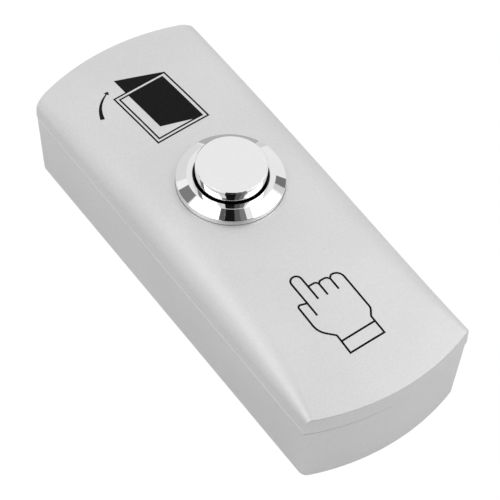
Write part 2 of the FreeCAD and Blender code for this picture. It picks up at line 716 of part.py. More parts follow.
PIECES = {
    "back_box": make_back_box(),
    "front_cover": make_front_cover(),
    "cover_screw": make_cover_screw(),
    "switch_barrel": make_switch_barrel(),
    "bezel_gasket": make_bezel_gasket(),
    "lock_washer": make_lock_washer(),
    "hex_nut": make_hex_nut(),
    "guide_insulator": make_guide_insulator(),
    "terminal_block": make_terminal_block(),
    "snap_ring": make_snap_ring(),
    "fixed_contact_left": make_fixed_contact(-1),
    "fixed_contact_right": make_fixed_contact(1),
    "wire_clamp_left": make_wire_clamp(-1),
    "wire_clamp_right": make_wire_clamp(1),
    "terminal_screws": make_terminal_screws(),
    "return_spring": make_return_spring(),
    "button_cap": make_button_cap(),
    "plunger_stem": make_plunger_stem(),
    "contact_bridge": make_contact_bridge(),
    "contact_tips": make_contact_tips(),
    "stem_washer": make_stem_washer(),
}

os.makedirs("parts", exist_ok=True)
for name, shape in PIECES.items():
    shape.exportStep(os.path.join("parts", name + ".step"))
    solids = len(shape.Solids)
    print(f"{name}: {solids} solid(s), {shape.Volume:.1f} mm3, valid {shape.isValid()}")
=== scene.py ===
# %% [markdown]
# # A door-release push button
# The real object is a small box that is screwed to the wall beside a door. It has a die-cast zinc
# back box, a die-cast cover with a shallow dome, and a chromed push button of the kind that fits a
# 16 mm hole. Two printed pictograms say what it does: a hand that presses and a door that opens.
# This lesson builds its looks round a CAD frame. The frame gives every level and place, and the
# visible pieces are made again here with finer meshes, small roundings and real finishes.

# %% The frame
import math
from itertools import product

import bmesh
import bpy
from mathutils import Matrix, Vector


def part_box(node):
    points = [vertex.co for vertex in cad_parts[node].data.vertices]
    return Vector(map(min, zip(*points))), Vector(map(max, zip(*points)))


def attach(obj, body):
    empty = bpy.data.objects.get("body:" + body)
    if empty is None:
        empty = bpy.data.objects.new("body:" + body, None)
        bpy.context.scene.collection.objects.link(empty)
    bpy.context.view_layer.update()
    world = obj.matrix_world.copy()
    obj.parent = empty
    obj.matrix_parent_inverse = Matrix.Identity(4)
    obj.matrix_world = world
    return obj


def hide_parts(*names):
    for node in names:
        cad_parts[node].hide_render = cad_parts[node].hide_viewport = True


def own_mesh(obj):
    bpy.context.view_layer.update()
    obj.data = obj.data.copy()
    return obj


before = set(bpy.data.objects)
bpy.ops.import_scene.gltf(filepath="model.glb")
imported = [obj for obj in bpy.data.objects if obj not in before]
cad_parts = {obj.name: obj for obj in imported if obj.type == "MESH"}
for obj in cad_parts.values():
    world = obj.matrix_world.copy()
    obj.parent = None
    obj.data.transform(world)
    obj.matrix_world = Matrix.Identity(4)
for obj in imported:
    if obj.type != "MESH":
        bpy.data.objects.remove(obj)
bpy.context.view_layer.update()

# %% [markdown]
# Lengths are written in millimetres, as on a drawing, and turned into metres when a mesh is made.
# The outer sizes come from the CAD pieces' own boxes, so the pieces here can't drift from them.
# A few sizes that no box can show, such as the dome's rise, are written out.

# %% Sizes
MM = 0.001


def cad(node, corner, axis):
    """One coordinate in millimetres of a CAD piece's box, at its low corner (0) or high one (1)."""
    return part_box(node)[corner][axis] / MM


HALF_WIDTH = cad("front_cover", 1, 0)
END_R = cad("front_cover", 1, 1)
JOINT_Z = 13.5
TOP_AT_ENDS = 17.15
CROWN_RISE = 3.0
DOME_R = (END_R**2 + CROWN_RISE**2) / (2 * CROWN_RISE)
DOME_Z = TOP_AT_ENDS + CROWN_RISE - DOME_R

BUTTON_Y = (cad("button_cap", 0, 1) + cad("button_cap", 1, 1)) / 2
BEZEL_R = cad("switch_barrel", 1, 0)
BEZEL_TOP = cad("switch_barrel", 1, 2)
BARREL_END = cad("switch_barrel", 0, 2)
CAP_TOP = cad("button_cap", 1, 2)
CAP_SKIRT_R = cad("button_cap", 1, 0)
CAP_BOTTOM = cad("button_cap", 0, 2)
SEAT_Z = cad("bezel_gasket", 0, 2)
NUT_SEAT_Z = cad("lock_washer", 1, 2)


def dome_height(x, y, depth=0.0):
    """Height of the dome, or of the surface that lies depth under it."""
    return DOME_Z + math.sqrt((DOME_R - depth) ** 2 - x**2 - y**2)


print(f"housing {2 * HALF_WIDTH:.1f} x {2 * END_R:.1f} mm, dome radius {DOME_R:.1f} mm")
print(f"button at y {BUTTON_Y:.2f}, bezel top {BEZEL_TOP:.3f}, cap top {CAP_TOP:.3f} mm")

# %% [markdown]
# ## The camera
# A long lens from well above one corner gives the flat, catalogue look: lines along the housing
# stay nearly parallel. The camera looks at a point near the button's axis and is tipped over by a
# few degrees, so that the part leans across the frame.

# %% Camera
CAMERA_AT = Vector((-0.18912, -0.23592, 0.41075))
LOOK_AT = Vector((-0.001644, -0.003376, 0.012))
CAMERA_ROLL = math.radians(4.302)
LENS_MM = 220.07
SENSOR_MM = 36.0


def in_scene(name, data):
    """A new object with this data, linked into the scene."""
    thing = bpy.data.objects.new(name, data)
    bpy.context.scene.collection.objects.link(thing)
    return thing


camera = in_scene("camera", bpy.data.cameras.new("camera"))
camera.data.sensor_width = SENSOR_MM
camera.data.lens = LENS_MM
forward = (LOOK_AT - CAMERA_AT).normalized()
level = forward.cross(Vector((0, 0, 1))).normalized()
right = level * math.cos(CAMERA_ROLL) + level.cross(forward) * math.sin(CAMERA_ROLL)
axes = Matrix((right, right.cross(forward), -forward)).transposed()
camera.matrix_world = Matrix.Translation(CAMERA_AT) @ axes.to_4x4()
bpy.context.scene.camera = camera
print(f"camera {(LOOK_AT - CAMERA_AT).length:.3f} m away, lens {LENS_MM} mm")

# %% [markdown]
# ## Node helpers
# Every finish here is a small tree of nodes. A few helpers keep the lesson short: they add a node
# and set its sockets, do one step of arithmetic or mixing, and start a material. A value that is
# the same all over goes straight on a socket, and one that varies is linked to it.

# %% Node helpers
def feed(node, sockets):
    """Sets a node's input sockets. A value that is another node's output is linked."""
    for key, value in sockets.items():
        if isinstance(value, bpy.types.NodeSocket):
            node.id_data.links.new(value, node.inputs[key])
        else:
            node.inputs[key].default_value = value


def add_node(tree, kind, sockets=None, **settings):
    """A node with its properties and its input sockets set."""
    node = tree.nodes.new(kind)
    for name, value in settings.items():
        setattr(node, name, value)
    feed(node, sockets or {})
    return node


def output(tree, kind, sockets=None, **settings):
    """The first output of a new node."""
    return add_node(tree, kind, sockets, **settings).outputs[0]


def calculate(tree, operation, a, b=0.0):
    """One step of arithmetic in a tree."""
    return output(tree, "ShaderNodeMath", {0: a, 1: b}, operation=operation)


def blend(tree, share, a, b):
    """The number a where share is 0, and b where it is 1."""
    return output(tree, "ShaderNodeMix", {0: share, 2: a, 3: b}, data_type="FLOAT")


def start_finish(name, sockets):
    """A material with a Principled shader: returns the material, its tree, and the shader."""
    material = bpy.data.materials.new(name)
    material.use_nodes = True
    shader = material.node_tree.nodes["Principled BSDF"]
    feed(shader, sockets)
    print("finish:", name)
    return material, material.node_tree, shader


def grain(tree, scale, detail=3.0, roughness=0.5, stretch=(1, 1, 1)):
    """Noise fixed to the piece. scale is how many lumps there are in a metre."""
    place = add_node(tree, "ShaderNodeTexCoord").outputs["Object"]
    place = output(tree, "ShaderNodeMapping", {"Vector": place, "Scale": stretch})
    sockets = {"Vector": place, "Scale": scale, "Detail": detail, "Roughness": roughness}
    return output(tree, "ShaderNodeTexNoise", sockets)


def spread(tree, noise, low, high):
    """Noise, nearly all of which lies between 0.3 and 0.7, moved to the range low to high."""
    sockets = {"Value": noise, "From Min": 0.3, "From Max": 0.7, "To Min": low, "To Max": high}
    return output(tree, "ShaderNodeMapRange", sockets)


def grey(tree, value):
    """A grey colour from one number."""
    return output(tree, "ShaderNodeCombineColor", {0: value, 1: value, 2: value})


def bump(tree, shader, height, strength, distance):
    """Small relief on the shader's normal. distance is its depth in metres."""
    sockets = {"Height": height, "Strength": strength, "Distance": distance}
    feed(shader, {"Normal": output(tree, "ShaderNodeBump", sockets)})


# %% [markdown]
# ## The finishes
# The housing is a die-casting with a satin silver plating. Up close it isn't one even grey: the
# metal under it is slightly clouded, and the plating has a very fine grain. Soft clouds a
# centimetre wide shift its tone and gloss, and a fine bump breaks the reflections up. That is what
# sets satin metal apart from grey paint.

# %% Satin housing
def satin_housing():
    material, tree, shader = start_finish("satin_silver_plating", {"Metallic": 0.75})
    clouds = grain(tree, scale=55, detail=2.0)
    speckle = grain(tree, scale=2600, detail=2.0)
    fine = spread(tree, speckle, 0.67, 0.71)
    tone = calculate(tree, "ADD", spread(tree, clouds, -0.02, 0.02), fine)
    feed(shader, {"Base Color": grey(tree, tone), "Roughness": spread(tree, clouds, 0.49, 0.55)})
    bump(tree, shader, grain(tree, scale=1800), strength=0.25, distance=0.00002)
    return material


SATIN_SILVER = satin_housing()

# %% [markdown]
# The bezel and the button's side are polished chrome. A polished surface is mostly its
# surroundings, so the shader is simple: full metal and very little roughness. Faint wipe marks
# keep it from looking computed. Down in the gap between the two, below the bezel's face, a
# painted shade takes the colour to almost black.

# %% Polished chrome
BEZEL_HOLE_R = 6.25
# Tone of a painted shade for the dark gap between bezel and button, and how far below the face it
# starts.
PAINTED_SHADE_TONE = 0.02
PAINTED_SHADE_START = 0.06
TOUCH = 0.03


def from_axis(tree):
    """Distance from the button's axis and height, read from the piece's own coordinates."""
    place = add_node(tree, "ShaderNodeTexCoord").outputs["Object"]
    to_axis = {"Vector": place, "Location": (0, -BUTTON_Y * MM, 0)}
    centred = output(tree, "ShaderNodeMapping", to_axis)
    parts = add_node(tree, "ShaderNodeSeparateXYZ", {"Vector": centred}).outputs
    flat = output(tree, "ShaderNodeCombineXYZ", {"X": parts["X"], "Y": parts["Y"]})
    radius = add_node(tree, "ShaderNodeVectorMath", {0: flat}, operation="LENGTH").outputs["Value"]
    return radius, parts["Z"]


def chrome_tone_with_painted_shade(tree, marks, low, high):
    """The plating's tone: bright with faint marks, and a painted shade, almost black, in the gap
    below the face.
    """
    radius, height = from_axis(tree)
    # Painted shade: near the axis and below the bezel's face, the colour falls almost to black.
    near = calculate(tree, "LESS_THAN", radius, (BEZEL_HOLE_R + TOUCH) * MM)
    deep = calculate(tree, "LESS_THAN", height, (BEZEL_TOP - PAINTED_SHADE_START) * MM)
    painted_shade_mask = calculate(tree, "MULTIPLY", near, deep)
    return grey(tree, blend(tree, painted_shade_mask, spread(tree, marks, low, high), PAINTED_SHADE_TONE))


def polished_chrome():
    material, tree, shader = start_finish("polished_chrome_plate", {"Metallic": 1.0})
    smudge = grain(tree, scale=300, detail=4.0)
    # The bezel's tone carries the painted shade on its hole's wall below the face.
    tone = chrome_tone_with_painted_shade(tree, smudge, 0.785, 0.80)
    feed(shader, {"Base Color": tone, "Roughness": spread(tree, smudge, 0.025, 0.05)})
    return material


POLISHED_CHROME = polished_chrome()

# %% [markdown]
# The button's pressing face is chromed too, but blasted to a satin first, while its bevel and side
# stay bright. Both finishes are on one turned piece, so one material holds both: the distance from
# the button's axis, read from the piece's own coordinates, decides which one shows.

# %% Button cap finish
CAP_FACE_R = 5.8
BRIGHT_ROUGHNESS = 0.035


def button_chrome():
    material, tree, shader = start_finish("button_chrome_satin_face", {"Metallic": 1.0})
    on_face = calculate(tree, "LESS_THAN", from_axis(tree)[0], CAP_FACE_R * MM)
    speckle = grain(tree, scale=3500, detail=2.0)
    rough = blend(tree, on_face, BRIGHT_ROUGHNESS, spread(tree, speckle, 0.30, 0.40))
    # The cap's side takes the same painted shade where it sits low in the bezel's hole.
    feed(shader, {"Base Color": chrome_tone_with_painted_shade(tree, speckle, 0.785, 0.815), "Roughness": rough})
    relief = calculate(tree, "MULTIPLY", on_face, speckle)
    bump(tree, shader, relief, strength=0.3, distance=0.00001)
    return material


BUTTON_CHROME = button_chrome()

# %% [markdown]
# The pictograms are pad-printed with a matte black ink, a film a few hundredths of a millimetre
# thick. Ink on satin metal is never quite even, so its tone and gloss vary a little. The black
# moulded plastic and the rubber inside are dull in the same way, so one helper makes all three.

# %% Ink, plastic and rubber
def dull_black(name, lumps, tones, roughs, strength, depth, specular=0.5):
    """A black finish whose tone, gloss and relief follow one fine noise."""
    material, tree, shader = start_finish(name, {"Specular IOR Level": specular})
    marks = grain(tree, lumps)
    tone = grey(tree, spread(tree, marks, *tones))
    feed(shader, {"Base Color": tone, "Roughness": spread(tree, marks, *roughs)})
    bump(tree, shader, marks, strength, depth)
    return material


INK_LOOK = (900, (0.004, 0.008), (0.45, 0.60), 0.2, 0.000005, 0.08)
PLASTIC_LOOK = (1600, (0.024, 0.036), (0.36, 0.50), 0.4, 0.00002)
RUBBER_LOOK = (2400, (0.0176, 0.0264), (0.64, 0.78), 0.4, 0.00003)
PRINTING_INK = dull_black("black_printing_ink", *INK_LOOK)
BLACK_PLASTIC = dull_black("black_moulded_plastic", *PLASTIC_LOOK)
BLACK_RUBBER = dull_black("black_rubber", *RUBBER_LOOK)

# %% [markdown]
# The metals inside are zinc-plated steel, brass contacts with silver tips, and drawn spring wire.
# They show only when the housing is opened, but each has its own colour, gloss and size of grain.

# %% Inner metals
MARK_TONE = 0.86


def worked_metal(name, colour, rough, lumps, depth, stretch=(1, 1, 1)):
    """A metal with marks that are darker and rougher than the rest."""
    material, tree, shader = start_finish(name, {"Metallic": 1.0})
    marks = grain(tree, lumps, detail=4.0, roughness=0.55, stretch=stretch)
    dark = tuple(channel * MARK_TONE for channel in colour) + (1,)
    sockets = {0: spread(tree, marks, 0.0, 1.0), 6: dark, 7: colour + (1,)}
    mix = add_node(tree, "ShaderNodeMix", sockets, data_type="RGBA")
    roughness = spread(tree, marks, rough + 0.06, rough - 0.04)
    feed(shader, {"Base Color": mix.outputs[2], "Roughness": roughness})
    bump(tree, shader, marks, strength=0.3, distance=depth)
    return material


ZINC_PLATE = worked_metal("zinc_plated_steel", (0.68, 0.69, 0.70), 0.28, 900, 0.00001)
SPRING_WIRE = worked_metal("drawn_spring_wire", (0.52, 0.52, 0.53), 0.32, 1500, 0.000008)
BRASS = worked_metal("contact_brass", (0.80, 0.60, 0.28), 0.24, 1200, 0.000008, (1, 6, 1))
SILVER = worked_metal("contact_silver", (0.86, 0.85, 0.83), 0.20, 1400, 0.000005)

# %% [markdown]
# ## Making meshes
# Nearly every piece here is a skin over rings of points: a turned piece's rings are circles, and
# the housing's rings are its outline. So one function joins rings with faces, and another turns
# points and faces into an object. The corners of a profile are rounded by a third, because a real
# edge always has a small radius that catches the light.

# %% Mesh helpers
def rounded_path(corners, closed=False, steps=5):
    """Points along straight runs between corners (x, y, radius), with an arc at each corner."""
    points = []
    count = len(corners)
    for i, (x, y, radius) in enumerate(corners):
        corner = Vector((x, y))
        if radius == 0 or (not closed and i in (0, count - 1)):
            points.append(corner)
            continue
        beside = (corners[i - 1], corners[(i + 1) % count])
        back, ahead = ((Vector(other[:2]) - corner).normalized() for other in beside)
        half = back.angle(ahead) / 2
        centre = corner + (back + ahead).normalized() * (radius / math.sin(half))
        first = corner + back * (radius / math.tan(half)) - centre
        last = corner + ahead * (radius / math.tan(half)) - centre
        turn = math.atan2(first.x * last.y - first.y * last.x, first.dot(last))
        for k in range(steps + 1):
            points.append(centre + Matrix.Rotation(turn * k / steps, 2) @ first)
    return points


def skin(rings, closed):
    """Faces between each ring of points and the next. closed joins the last ring to the first."""
    count = len(rings[0])
    faces = []
    for a in range(len(rings) if closed else len(rings) - 1):
        b = (a + 1) % len(rings)
        for i in range(count):
            j = (i + 1) % count
            faces.append((a * count + i, a * count + j, b * count + j, b * count + i))
    return [point for ring in rings for point in ring], faces


def shade(piece, sharp_angle=32):
    """Smooth faces, with edges left sharp where the surface really turns."""
    piece.data.shade_smooth()
    piece.data.set_sharp_from_angle(angle=math.radians(sharp_angle))


def make_piece(name, points, faces, finish):
    """An object from points in millimetres: welded, faces outwards, smooth but for real edges."""
    mesh = bpy.data.meshes.new(name)
    mesh.from_pydata([Vector(point) * MM for point in points], [], faces)
    shape = bmesh.new()
    shape.from_mesh(mesh)
    bmesh.ops.remove_doubles(shape, verts=shape.verts, dist=0.002 * MM)
    bmesh.ops.recalc_face_normals(shape, faces=shape.faces)
    shape.to_mesh(mesh)
    shape.free()
    mesh.materials.append(finish)
    piece = in_scene(name, mesh)
    shade(piece)
    return piece


def bake(piece):
    """Puts the piece's modifiers into its mesh."""
    graph = bpy.context.evaluated_depsgraph_get()
    mesh = bpy.data.meshes.new_from_object(piece.evaluated_get(graph), depsgraph=graph)
    piece.modifiers.clear()
    piece.data = mesh


def even_shading(piece):
    """Lets the large faces set the shading, so that small roundings don't bend it."""
    weights = piece.modifiers.new("even shading", "WEIGHTED_NORMAL")
    weights.keep_sharp = True
    bake(piece)


def hold(piece, body, slot, *nodes):
    """The piece moves with a body and stands for these CAD pieces. slot is not used."""
    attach(piece, body)
    if nodes:
        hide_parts(*nodes)
    faces = sum(len(polygon.vertices) - 2 for polygon in piece.data.polygons)
    print(f"{piece.name}: {faces} triangles")


# %% [markdown]
# ## The housing's outline
# Seen from the front, cover and box have one outline: a strip with straight sides, trimmed by a
# large disc. Each quarter of it is a straight side, a small corner arc, and an arc of the disc. The
# function below walks round it and also gives the direction that points inwards at each place.
# The same number of points for every inset means that any two outlines can be joined by faces.

# %% Outline
SIDE_POINTS = 64
CORNER_POINTS = 6
END_POINTS = 36
END_CROWDING = 1.5
CRISP_EDGE = 0.3


def corner_centre(half, radius, corner):
    """Middle of the small arc that joins a long side to the disc of that radius."""
    return Vector((half - corner, math.sqrt((radius - corner) ** 2 - (half - corner) ** 2)))


def quarter(inset, corner, wider=0.0):
    """Points and inward directions from the middle of a long side to the middle of an end."""
    half = HALF_WIDTH - inset + wider
    radius = END_R - inset
    centre = corner_centre(half, radius, corner)
    turn = math.atan2(centre.y, centre.x)
    side = [Vector((half, centre.y * i / SIDE_POINTS)) for i in range(SIDE_POINTS)]
    walk = [(point, Vector((-1, 0))) for point in side]
    arcs = [(centre, corner, turn * i / CORNER_POINTS) for i in range(CORNER_POINTS)]
    for i in range(END_POINTS + 1):
        angle = turn + (math.pi / 2 - turn) * (i / END_POINTS) ** END_CROWDING
        arcs.append((Vector((0, 0)), radius, angle))
    for middle, reach, angle in arcs:
        out = Vector((math.cos(angle), math.sin(angle)))
        walk.append((middle + out * reach, -out))
    return walk


def outline(inset, corner, wider=0.0):
    """The whole outline, anticlockwise: a list of (point, inward direction)."""
    first = quarter(inset, corner, wider)
    walk = list(first)
    walk += [(Vector((-p.x, p.y)), Vector((-n.x, n.y))) for p, n in reversed(first[:-1])]
    walk += [(-p, -n) for p, n in first[1:]]
    walk += [(Vector((p.x, -p.y)), Vector((n.x, -n.y))) for p, n in reversed(first[1:-1])]
    return walk


def level_ring(inset, corner, z, wider=0.0):
    """The outline at one height."""
    return [(p.x, p.y, z) for p, n in outline(inset, corner, wider)]


AROUND = len(outline(0, CRISP_EDGE))
print("points round the outline:", AROUND)

# %% [markdown]
# ## The cover
# The cover is the piece that gives the object its character. Its top is part of a very large
# sphere, so the edge of each curved end stays level. Its long edges have soft shoulders, which are
# broad in the middle and run out towards the corners, where the curved ends cut them off. The lower
# corners are crisp, and the upper ones a little softer. Across, a shoulder is a quarter of an
# ellipse, half as wide again as it is high, which spreads its highlight. A bevel modifier makes
# neither, so the skin's height is worked out as the dome's less the ellipse's drop. The rings of
# the rounding draw together towards the corners, so that the faces beyond them never cross.

# %% Cover edge
OUTSIDE = {"inset": 0, "depth": 0, "wide": 6.1, "upper_end": 2.7, "lower_end": 1.15, "flat": 0.63}
HOLLOW = {"inset": 1.4, "depth": 1.6, "wide": 2.7, "upper_end": 0.6, "lower_end": 0.3, "flat": 1}
UPPER_POWER = 1.8
LOWER_POWER = 2.5
END_EDGE = 0.12
NARROWS_FROM = 16
EDGE_SHARE = 0.4


def shoulder(shell, y):
    """How wide and how high the shoulder is in the section at y."""
    end, power = (shell["upper_end"], UPPER_POWER) if y > 0 else (shell["lower_end"], LOWER_POWER)
    late = min(abs(y) / math.sqrt(END_R**2 - HALF_WIDTH**2), 1) ** power
    wide = shell["wide"] + (end - shell["wide"]) * late
    return wide, wide * shell["flat"]


def skin_height(shell, x, y):
    """Height of the dome over a point, less the shoulder's drop near the long edges."""
    wide, high = shoulder(shell, y)
    across = min(max(1 - (HALF_WIDTH - shell["inset"] - abs(x)) / wide, 0), 1)
    return dome_height(x, y, shell["depth"]) - high * (1 - math.sqrt(1 - across**2))


def edge_place(shell, point, inward, share):
    """A point on the edge's rounding, where share is 0 at the wall and 1 at the last ring."""
    half = HALF_WIDTH - shell["inset"]
    centre = corner_centre(half, END_R - shell["inset"], CRISP_EDGE)
    turned_by = math.atan2(abs(inward.y), abs(inward.x)) / math.atan2(centre.y, centre.x)
    to_end = min(turned_by, 1)
    wide, high = shoulder(shell, point.y)
    near_end = min(max((abs(point.y) - NARROWS_FROM) / (centre.y - NARROWS_FROM), 0), 1)
    last_in = wide * EDGE_SHARE + (END_EDGE - wide * EDGE_SHARE) * near_end
    angle = math.acos(1 - last_in / wide) * share
    side_in = wide * (1 - math.cos(angle))
    side_z = skin_height(shell, half - side_in, point.y)
    end_in = END_EDGE * (1 - math.cos(share * math.pi / 2))
    place = point + inward * end_in
    end_z = skin_height(shell, place.x, place.y) - END_EDGE * (1 - math.sin(share * math.pi / 2))
    place = point + inward * (side_in + (end_in - side_in) * to_end)
    return (place.x, place.y, side_z + (end_z - side_z) * to_end)


def edge_rings(shell, steps):
    """Rings of the rounding from the wall up to the top."""
    walk = outline(shell["inset"], CRISP_EDGE)
    return [[edge_place(shell, p, n, k / steps) for p, n in walk] for k in range(steps + 1)]


outer_edge = edge_rings(OUTSIDE, steps=14)
inner_edge = edge_rings(HOLLOW, steps=6)
print("rings in the outer rounding:", len(outer_edge))

# %% [markdown]
# From the rounding the skin runs over the dome to the round seat under the bezel, down through the
# hole, along the underside and back down the inner wall. Points over the dome lie between the edge
# and the seat, and each one's height is the sphere's, so the dome is exact everywhere. The seat's
# own points are spaced more evenly than the outline's, so that few faces beside it are slivers.

# %% Cover shell
SEAT_R = BEZEL_R + 0.03
SEAT_ROUND = 0.03
SEAT_START = math.radians(-4)
EVEN_SHARE = 0.4
EDGE_CROWDING = 1.6
HOLE_R = 8.1
NUT_SEAT_R = 10.6
RIM_BEVEL = 0.12


def between(a, b, share):
    """The point at that share of the way from a to b."""
    return tuple(Vector(a).lerp(Vector(b), share))


def seat_directions():
    """Directions round the button: a blend of those towards the outline's points and even ones."""
    directions = []
    turn = math.atan2(-BUTTON_Y, HALF_WIDTH)
    before = Vector((HALF_WIDTH, -BUTTON_Y))
    for i, (point, inward) in enumerate(outline(0, CRISP_EDGE)):
        here = Vector((point.x, point.y - BUTTON_Y))
        turn += math.atan2(before.cross(here), before.dot(here))
        before = here
        even = SEAT_START + 2 * math.pi * i / AROUND
        blended = turn + (even - turn) * EVEN_SHARE
        directions.append(Vector((math.cos(blended), math.sin(blended))))
    return directions


def ring_about_button(directions, radius, height):
    """A circle about the button's axis. height is a number or a function of x and y."""
    ring = []
    for out in directions:
        x, y = out.x * radius, BUTTON_Y + out.y * radius
        ring.append((x, y, height(x, y) if callable(height) else height))
    return ring


def spans(shell, edge_ring, seat_ring, steps):
    """Rings over the top between the edge and the seat, closest at the edge."""
    rings = []
    for k in range(1, steps):
        share = (k / steps) ** EDGE_CROWDING
        places = [between(a[:2], b[:2], share) for a, b in zip(edge_ring, seat_ring)]
        rings.append([(x, y, skin_height(shell, x, y)) for x, y in places])
    return rings


def cover_rings():
    directions = seat_directions()
    seat_profile = [
        (SEAT_R + SEAT_ROUND, dome_height),
        (SEAT_R, lambda x, y: dome_height(x, y) - SEAT_ROUND), (SEAT_R, SEAT_Z),
        (HOLE_R, SEAT_Z), (HOLE_R, NUT_SEAT_Z), (NUT_SEAT_R, NUT_SEAT_Z),
        (NUT_SEAT_R, lambda x, y: dome_height(x, y, HOLLOW["depth"])),
    ]
    seat = [ring_about_button(directions, radius, height) for radius, height in seat_profile]
    top = outer_edge + spans(OUTSIDE, outer_edge[-1], seat[0], steps=28)
    under = inner_edge + spans(HOLLOW, inner_edge[-1], seat[-1], steps=14)
    rim_profile = ((HOLLOW["inset"], JOINT_Z), (RIM_BEVEL, JOINT_Z), (0, JOINT_Z + RIM_BEVEL))
    rim = [level_ring(inset, CRISP_EDGE, z) for inset, z in rim_profile]
    wall = [[between(a, b, share / 3) for a, b in zip(rim[-1], outer_edge[0])] for share in (1, 2)]
    return top + seat + list(reversed(under)) + rim + wall


cover = make_piece("cover_shell", *skin(cover_rings(), True), SATIN_SILVER)
print("cover points:", len(cover.data.vertices))

# %% [markdown]
# Inside the cover hang a hook, which catches under a ledge in the box's lower end, and a boss that
# the one cover screw bites into. They are added and cut with Booleans, because they cross the shell
# at odd places, and a Boolean finds those crossings by itself.

# %% Block and cutter helpers
def block(name, low, high, finish, bevel):
    """A block between two corners, in millimetres, with its edges bevelled."""
    corners = [(x, y, z) for z, y, x in product(*zip(low[::-1], high[::-1]))]
    faces = [(0, 1, 3, 2), (4, 6, 7, 5), (0, 4, 5, 1), (2, 3, 7, 6), (0, 2, 6, 4), (1, 5, 7, 3)]
    piece = make_piece(name, corners, faces, finish)
    edges = piece.modifiers.new("edges", "BEVEL")
    edges.width = bevel * MM
    edges.segments = 2
    bake(piece)
    return piece


def turned(name, profile, finish, centre, steps, along="Z"):
    """A closed profile of (radius, level), turned about an axis along Z or Y through centre."""
    rings = []
    for k in range(steps):
        angle = 2 * math.pi * k / steps
        c, s = math.cos(angle), math.sin(angle)
        if along == "Z":
            rings.append([(centre[0] + r * c, centre[1] + r * s, z) for r, z in profile])
        else:
            rings.append([(centre[0] + r * c, y, centre[1] + r * s) for r, y in profile])
    return make_piece(name, *skin(rings, True), finish)


def about_button(name, corners, finish, body, node):
    """A visible piece turned about the button's axis from a profile with rounded corners."""
    piece = turned(name, rounded_path(corners, True), finish, (0, BUTTON_Y), 192)
    even_shading(piece)
    hold(piece, body, "polished_chrome", node)


def combine(piece, tool, operation):
    """Adds the tool to the piece or cuts it out, and removes the tool."""
    boolean = piece.modifiers.new("combine", "BOOLEAN")
    boolean.operation = operation
    boolean.solver = "EXACT"
    boolean.object = tool
    bake(piece)
    bpy.data.objects.remove(tool)


# %% Cover hook, boss and screw hole
SCREW_Z = 8.5
TAPPED_R = 1.5
TAPPED_FROM, TAPPED_TO = 30, 45
COVER_BLOCKS = {
    "hook_leg": {"low": (-3.5, -37.0, 7.1), "high": (3.5, -35.4, 17.0), "bevel": 0.15},
    "hook_foot": {"low": (-3.5, -38.4, 7.1), "high": (3.5, -35.5, 10.1), "bevel": 0.15},
    "boss": {"low": (-3.5, 34.04, 5.5), "high": (3.5, 38.44, 16.9), "bevel": 0.5},
}
for name, sizes in COVER_BLOCKS.items():
    combine(cover, block(name, finish=SATIN_SILVER, **sizes), "UNION")
tapped_profile = [(0, TAPPED_FROM), (TAPPED_R, TAPPED_FROM), (TAPPED_R, TAPPED_TO), (0, TAPPED_TO)]
tapped_hole = turned("tapped_hole", tapped_profile, SATIN_SILVER, (0, SCREW_Z), 48, "Y")
combine(cover, tapped_hole, "DIFFERENCE")
shade(cover)
even_shading(cover)
print("cover points with hook and boss:", len(cover.data.vertices))

# %% [markdown]
# A satin dome shows the smallest unevenness in its highlights, and flat faces, however fine, have
# some. The true surface is known, though: a sphere less an elliptical shoulder. So its own normals
# are worked out at the points of the skin, and the faces are shaded with those.

# %% Exact shading of the cover
ON_SKIN = 0.003
Y_STEP = 0.01
STEEPEST = 0.3


def skin_normal(place):
    """The true surface's normal at a point of the dome or shoulder, or None at any other point."""
    x, y, z = place
    if abs(x) > HALF_WIDTH or x**2 + y**2 > END_R**2:
        return None
    wide, high = shoulder(OUTSIDE, y)
    inside = HALF_WIDTH - abs(x)
    across = min(max(1 - inside / wide, 0), 1)
    steep = math.sqrt(1 - across**2)
    above = dome_height(x, y) - DOME_Z
    widening = (shoulder(OUTSIDE, y + Y_STEP)[0] - shoulder(OUTSIDE, y - Y_STEP)[0]) / (2 * Y_STEP)
    rising = widening * OUTSIDE["flat"]
    normal_x = x / above * steep + math.copysign(high * across / wide, x)
    normal_y = y / above * steep + rising * (1 - steep) * steep
    normal_y += high * across * inside * widening / wide**2
    normal = Vector((normal_x, normal_y, steep)).normalized()
    off_skin = abs(z - skin_height(OUTSIDE, x, y)) * max(normal.z, STEEPEST)
    return normal if off_skin < ON_SKIN else None


mesh = cover.data
normals = [Vector(corner.vector) for corner in mesh.corner_normals]
exact = [skin_normal(vertex.co / MM) for vertex in mesh.vertices]
on_skin = [p for p in mesh.polygons if all(exact[index] is not None for index in p.vertices)]
for polygon in on_skin:
    for corner, index in zip(polygon.loop_indices, polygon.vertices):
        normals[corner] = exact[index]
mesh.normals_split_custom_set(normals)
print("faces with exact shading:", len(on_skin))
hold(cover, "housing", "housing_satin", "front_cover")

# %% [markdown]
# ## The back box
# The box is cast with a slight draft, so that it comes out of its die: each side leans in by 0.6 mm
# towards the wall, and its corners grow rounder. It follows the same outline. At the two ends it
# stands one step inside the cover, over a fine groove that draws a dark line. Along the sides it is
# flush, and a bevel draws a bright one. A tongue round its rim centres the cover.

# %% Box shell
BOX_STEP = 0.2
BOX_DRAFT = 0.6
BOX_CORNER = 0.4
BOX_CORNER_GROWTH = 1.1
BOX_BACK_EDGE = 0.35
BOX_BEVEL = 0.27
GROOVE_HEIGHT = 0.33
GROOVE_DEPTH = 0.3
BOX_FLOOR = 1.8
LIP_INSET = 1.55
LIP_TOP = 15.0
LIP_BEVEL = 0.15
CAVITY_INSET = 2.45
CAVITY_CORNER = 1.2
CAVITY_DRAFT = 0.26
BOX_LEVELS = (3, 6, 9, 12)


